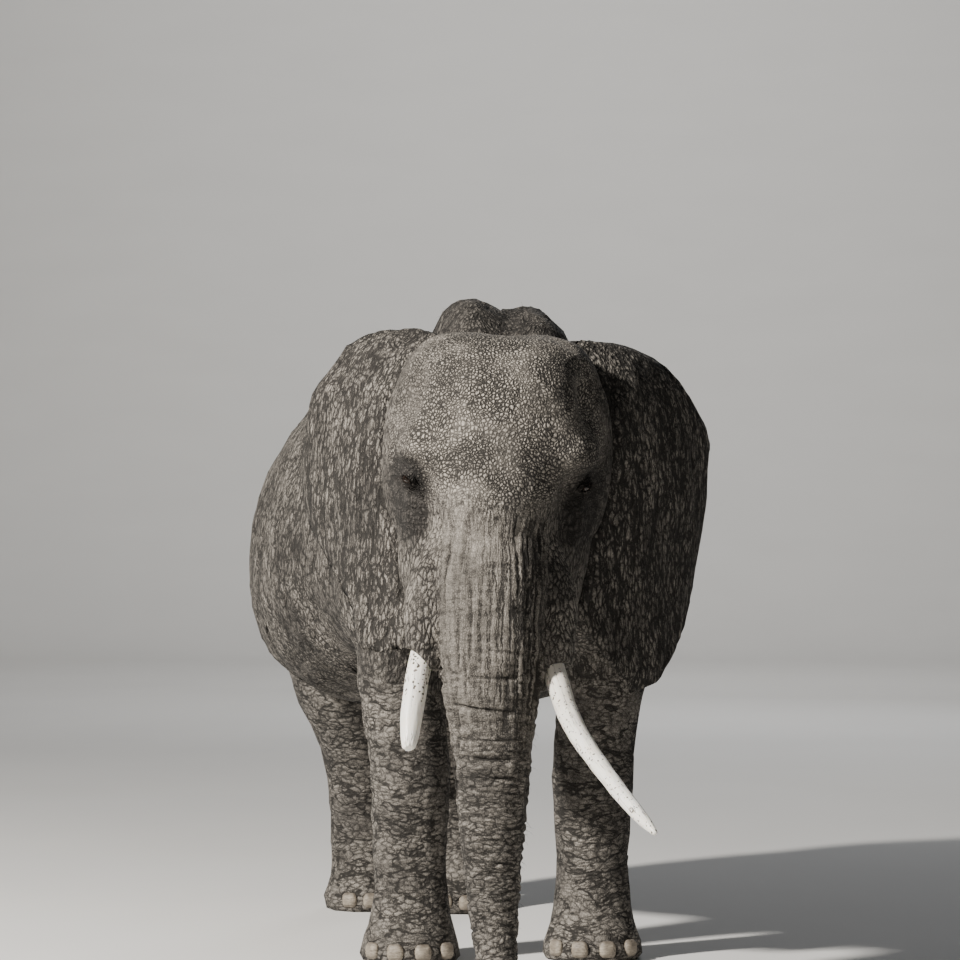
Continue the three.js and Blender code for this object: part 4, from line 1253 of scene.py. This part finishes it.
def makeNail(name):
    nail = finePiece(name, nailLook, "_horn")
    places, normals = getPlaces(nail.data), getNormals(nail.data)
    low, high = places.min(0), places.max(0)
    centre = (low + high) / 2
    foot = centreOf(name.split("_toenail")[0] + "_foot")
    outward = np.array([*(centre - foot)[:2], 0])
    outward /= np.linalg.norm(outward)
    sideways = np.cross(outward, (0, 0, 1))
    flat = (places - centre) - np.outer((places - centre) @ outward, outward)
    turn = np.arctan2(flat[:, 2] / np.abs(flat[:, 2]).max(), flat @ sideways / np.abs(flat @ sideways).max())
    power = nailLook["power"]
    square = (np.abs(np.cos(turn)) ** power + np.abs(np.sin(turn)) ** power) ** (-1 / power)
    places += flat * (square - 1)[:, None]
    rise = (places[:, 2] - low[2]) / (high[2] - low[2])
    lift = nailLook["ridge"] * np.sin(rise * nailLook["ridges"] + 2 * bumpyNoise(places, 0.03, 3))
    lift += nailLook["lump"] * bumpyNoise(places, 0.025, 7)
    setPlaces(nail.data, places + normals * lift[:, None])
    addValues(nail.data, "nailRise", rise)
    nail.data.shade_smooth()
    nail.data.materials.append(makeHorn())
    return nail


@cache
def makeHorn():
    material, tree, shader = newMaterial("nailHorn")
    place = objectPlace(tree)
    rise = attribute(tree, "nailRise")
    clouds = mottle(tree, place, 24.0, 5.0)
    rings = mottle(tree, vectorCalc(tree, "MULTIPLY", place, (0.25, 0.25, 1)), 260.0, 2.0)
    color = mixColor(tree, remap(tree, clouds, 0.36, 0.64), nailLook["horn"], nailLook["pale"])
    color = mixColor(tree, remap(tree, rings, 0.45, 0.70, 0.0, 0.55), color, nailLook["dirt"])
    # Darker towards the top and the bottom of each nail.
    darkerEnds = calc(tree, "MAXIMUM", remap(tree, rise, 0.75, 1.0), remap(tree, rise, 0.30, 0.0))
    color = mixColor(tree, times(tree, darkerEnds, 0.7), color, nailLook["dirt"])
    tree.links.new(color, shader.inputs["Base Color"])
    addRelief(tree, shader, total(tree, (rings, 0.0008), (clouds, 0.0012)))
    tree.links.new(remap(tree, clouds, 0.3, 0.7, 0.5, 0.7), shader.inputs["Roughness"])
    return material


# ------------------------------------------------------------ hair

hairLook = {"dark": (0.012, 0.010, 0.009), "brown": (0.045, 0.034, 0.026), "patch": 0.003}
tuft = {
    "strands": 420, "steps": 9, "sides": 4, "thick": 0.0013, "top": 0.20, "tailThick": 0.024,
    "levels": 7, "spread": 1.25, "gather": 0.06, "core": 0.012, "wave": 0.012,
}
lashes = {
    "count": 36, "steps": 5, "sides": 3, "thick": 0.0007, "length": (0.035, 0.055),
    "span": 0.92, "above": 1.18, "fan": 0.55, "droop": 0.45,
}
bristles = {
    "count": 900, "steps": 3, "sides": 3, "thick": 0.0006, "length": (0.018, 0.045),
    "fromEyes": 0.06, "aboveFloor": 0.3, "scatter": 0.35, "droop": 0.35,
}


def makeUnwrap(skin):
    # An unwrap of the skin's own shape, on a thinned copy. Returns a function from places to its map.
    coarse = skin.copy()
    coarse.data = skin.data.copy()
    bpy.context.collection.objects.link(coarse)
    applyModifier(coarse, "DECIMATE", ratio=0.03, use_collapse_triangulate=True)
    selectOnly(coarse)
    bpy.ops.object.mode_set(mode="EDIT")
    bpy.ops.mesh.select_all(action="SELECT")
    bpy.ops.uv.smart_project(angle_limit=math.radians(66), island_margin=0.004)
    bpy.ops.object.mode_set(mode="OBJECT")
    mesh = coarse.data
    corners = [v.co.copy() for v in mesh.vertices]
    faces = [tuple(polygon.vertices) for polygon in mesh.polygons]
    flat = [Vector((*spot.uv, 0)) for spot in mesh.uv_layers.active.data]
    flatFaces = [[flat[i] for i in polygon.loop_indices] for polygon in mesh.polygons]
    tree = BVHTree.FromPolygons(corners, faces)
    bpy.data.objects.remove(coarse)

    def unwrap(places):
        found = []
        for place in places:
            spot, _, face, _ = tree.find_nearest(Vector(place))
            triangle = (corners[i] for i in faces[face])
            found.append(barycentric_transform(spot, *triangle, *flatFaces[face])[:2])
        return np.array(found)

    return unwrap


def growHairs(name, paths, thick, sides, unwrap):
    # paths: hairs x steps x 3. Each hair is a thin tapering tube that ends in a point.
    count, steps, _ = paths.shape
    heading = np.gradient(paths, axis=1)
    heading /= np.linalg.norm(heading, axis=2)[..., None]
    across = np.cross(heading, (0.31, 0.83, 0.46))
    across /= np.linalg.norm(across, axis=2)[..., None]
    other = np.cross(heading, across)
    width = thick * (1 - np.linspace(0, 1, steps) ** 1.5 * 0.85)[None, :-1, None]
    rings = []
    for i in range(sides):
        turn = 2 * math.pi * i / sides
        way = across * math.cos(turn) + other * math.sin(turn)
        rings.append(paths[:, :-1] + width * way[:, :-1])
    points = np.stack(rings, 2).reshape(count, -1, 3)
    points = np.concatenate([points, paths[:, -1:]], 1)
    perHair = points.shape[1]
    faces = []
    for row in range(steps - 2):
        for i in range(sides):
            a, b = row * sides + i, row * sides + (i + 1) % sides
            faces.append((a, b, b + sides, a + sides))
    last = (steps - 2) * sides
    faces += [(last + i, last + (i + 1) % sides, perHair - 1) for i in range(sides)]
    faces.append(tuple(reversed(range(sides))))
    mesh = bpy.data.meshes.new(name)
    allFaces = [tuple(i + hair * perHair for i in face) for hair in range(count) for face in faces]
    mesh.from_pydata(points.reshape(-1, 3).tolist(), [], allFaces)
    roots = unwrap(paths[:, 0])
    layer = mesh.uv_layers.new(name="OFBake")
    corners = np.empty(len(mesh.loops), np.int32)
    mesh.loops.foreach_get("vertex_index", corners)
    hair, part = corners // perHair, corners % perHair
    turn = 2 * math.pi * (part % sides) / sides
    reach = hairLook["patch"] / 2 * (1 - part / perHair)
    patch = roots[hair] + np.stack([np.cos(turn), np.sin(turn)], 1) * reach[:, None]
    layer.data.foreach_set("uv", patch.astype(np.float32).ravel())
    alongOne = np.append(np.repeat(np.linspace(0, 1, steps)[:-1], sides), 1.0)
    addValues(mesh, "hairAlong", np.tile(alongOne, count))
    mesh.shade_smooth()
    hairs = bpy.data.objects.new(name, mesh)
    bpy.context.collection.objects.link(hairs)
    mesh.materials.append(makeHairMaterial())
    return hairs


@cache
def makeHairMaterial():
    material, tree, shader = newMaterial("coarseHair")
    place = objectPlace(tree)
    clumps = mottle(tree, place, 60.0, 3.0)
    tipward = times(tree, attribute(tree, "hairAlong"), 0.4)
    share = calc(tree, "ADD", remap(tree, clumps, 0.35, 0.65, 0, 0.6), tipward)
    tree.links.new(mixColor(tree, share, hairLook["dark"], hairLook["brown"]), shader.inputs["Base Color"])
    tree.links.new(remap(tree, clumps, 0.3, 0.7, 0.35, 0.55), shader.inputs["Roughness"])
    addRelief(tree, shader, times(tree, clumps, 0.0002))
    return material


def makeTailTuft(unwrap):
    # Strands that leave the last stretch of the tail and fill the form of the tuft.
    places = getPlaces(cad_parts["tail_tuft"].data)
    low, high = places.min(0), places.max(0)
    count, steps = tuft["strands"], tuft["steps"]
    height = np.linspace(low[2], high[2], tuft["levels"])
    middles, spreads = [], []
    for level in height:
        near = np.abs(places[:, 2] - level) < (high[2] - low[2]) / 5
        middles.append(places[near].mean(0))
        spreads.append(places[near].std(0) * tuft["spread"])
    middles, spreads = np.array(middles), np.array(spreads)
    turn = chance.uniform(0, 2 * math.pi, count)
    start = high[2] + tuft["top"] * chance.random(count) ** 1.5
    end = low[2] + (high[2] - low[2]) * 0.55 * chance.random(count) ** 1.6 + 0.005
    reach = np.sqrt(chance.random(count))
    share = np.linspace(0, 1, steps)
    paths = np.empty((count, steps, 3))
    wave = chance.uniform(-1, 1, (count, 2)) * tuft["wave"]
    for i, t in enumerate(share):
        z = start + (end - start) * t
        inTuft = np.clip((high[2] - z) / tuft["gather"], 0, 1)
        for axis, trig in ((0, np.cos(turn)), (1, np.sin(turn))):
            middle = np.interp(z, height, middles[:, axis])
            spread = np.interp(z, height, spreads[:, axis])
            away = tuft["tailThick"] * (1 - inTuft) + inTuft * (tuft["core"] + reach * spread)
            paths[:, i, axis] = middle + trig * away + wave[:, axis] * np.sin(t * 5 + turn) * t
        paths[:, i, 2] = z
    return growHairs("tail_tuft_hairs", paths, tuft["thick"], tuft["sides"], unwrap)


def makeLashes(eyes, unwrap):
    paths = []
    for centre, outward, along, up in eyes.values():
        for t in np.linspace(-lashes["span"], lashes["span"], lashes["count"]):
            jitter = chance.uniform(-1, 1, 4)
            a = lids["length"] * (t + 0.02 * jitter[0])
            edge = (1 - min(abs(t), 1) ** lids["curve"]) ** (1 / lids["curve"])
            b = lids["height"] * lashes["above"] * edge
            h = lidHeight(np.array([math.hypot(a, b)]))[0] + lids["rim"] - 0.001
            shortest, longest = lashes["length"]
            length = shortest + (longest - shortest) * (0.5 + 0.5 * jitter[1])
            way = outward * 0.85 - up * 0.35 + along * (lashes["fan"] * t + 0.25 + 0.12 * jitter[2])
            way /= np.linalg.norm(way)
            share = np.linspace(0, 1, lashes["steps"])[:, None]
            root = centre + along * a + up * b + outward * h
            droop = up * length * lashes["droop"] * share**2 * (1 + 0.3 * jitter[3])
            paths.append(root + way * length * share - droop)
    return growHairs("eyelashes", np.array(paths), lashes["thick"], lashes["sides"], unwrap)


def makeBristles(skin, soft, unwrap):
    # Sparse stiff hairs, most of them on the chin, the crown, the trunk and the ridge of the back.
    places, normals = getPlaces(skin.data), getNormals(skin.data)
    head, body = toHead(places), places - home
    chin = soft["head"] * dab(head, (0, -1.30, 1.55), (0.16, 0.22, 0.16)) * 3
    crown = soft["head"] * dab(head, (0, -1.10, 2.95), (0.25, 0.35, 0.15))
    back = soft["torso"] * smoothStep(body[:, 2], 2.8, 3.0) * 0.5
    likely = chin + crown + 0.25 * soft["trunk"] + 0.08 * soft["head"] + back + 0.02
    likely *= fromEyes(places).min(0) > bristles["fromEyes"]
    likely *= places[:, 2] > bristles["aboveFloor"]
    picked = chance.choice(len(places), bristles["count"], replace=False, p=likely / likely.sum())
    scatter = bristles["scatter"]
    way = normals[picked] + chance.uniform(-scatter, scatter, (len(picked), 3)) + np.array([0, -0.15, -0.25])
    way /= np.linalg.norm(way, axis=1)[:, None]
    shortest, longest = bristles["length"]
    length = shortest + (longest - shortest) * chance.random(len(picked))[:, None, None]
    share = np.linspace(0, 1, bristles["steps"])[None, :, None]
    droop = np.array([0, 0, -bristles["droop"]]) * share**2
    roots = places[picked] - normals[picked] * 0.001
    paths = roots[:, None] + (way[:, None] * share + droop) * length
    return growHairs("bristles", paths, bristles["thick"], bristles["sides"], unwrap)


# ------------------------------------------------------------ making

makeCamera()
makeFloor()
makeLights()
print("camera, floor and lights made")

skin, zones = makeSkinBase()
fineParts = zones["head"] + zones["trunk"] > 0.5
subdivideNear(skin, fineParts)
aside, back, height = toHead(getPlaces(skin.data)).T
frontOfFace = (np.abs(aside) < 0.48) & (back < -1.15) & (height > 2.0) & (height < 2.75)
subdivideNear(skin, frontOfFace)
for eyeReach in skinBuild["fine"]:
    subdivideNear(skin, fromEyes(getPlaces(skin.data)).min(0) < eyeReach)
zones = nearestZones(getPlaces(skin.data))
soft, groove = foldSkin(skin, zones)
eyes = {side: eyeFrame(side, skin) for side in eyeCentres}
for eye in eyes.values():
    shapeLids(skin, eye)
hangLips(skin, soft)
markSkin(skin, soft, groove)
keep = sum(share * soft[zone] for zone, share in skinBuild["keep"].items())
for away in fromEyes(getPlaces(skin.data)):
    keep += np.exp(-((away / skinBuild["keepRoundEyes"]) ** 4))
finishSkin(skin, np.clip(keep, 0, 1))
skin.data.materials.clear()
skin.data.materials.append(makeSkinMaterial())
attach(skin, "root")
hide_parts(*[name for group in skinNodes.values() for name in group])
print("skin folded and painted")

unwrap = makeUnwrap(skin)
for side, eye in eyes.items():
    ball = makeEyeball(side, eye)
    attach(ball, "root")
    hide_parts(side + "_eye")
for name in tuskLines:
    tusk = makeTusk(name, "broken" in name)
    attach(tusk, "root")
    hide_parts(name)
for name in nailNames:
    nail = makeNail(name)
    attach(nail, "root")
    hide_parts(name)
print("eyes, tusks and nails made")

tailHair = makeTailTuft(unwrap)
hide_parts("tail_tuft")
soft = {name: readValues(skin.data, name + "Share") for name in ("head", "trunk", "body")}
soft["torso"] = soft["body"]
for hairs in (tailHair, makeLashes(eyes, unwrap), makeBristles(skin, soft, unwrap)):
    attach(hairs, "root")
print("hair made")
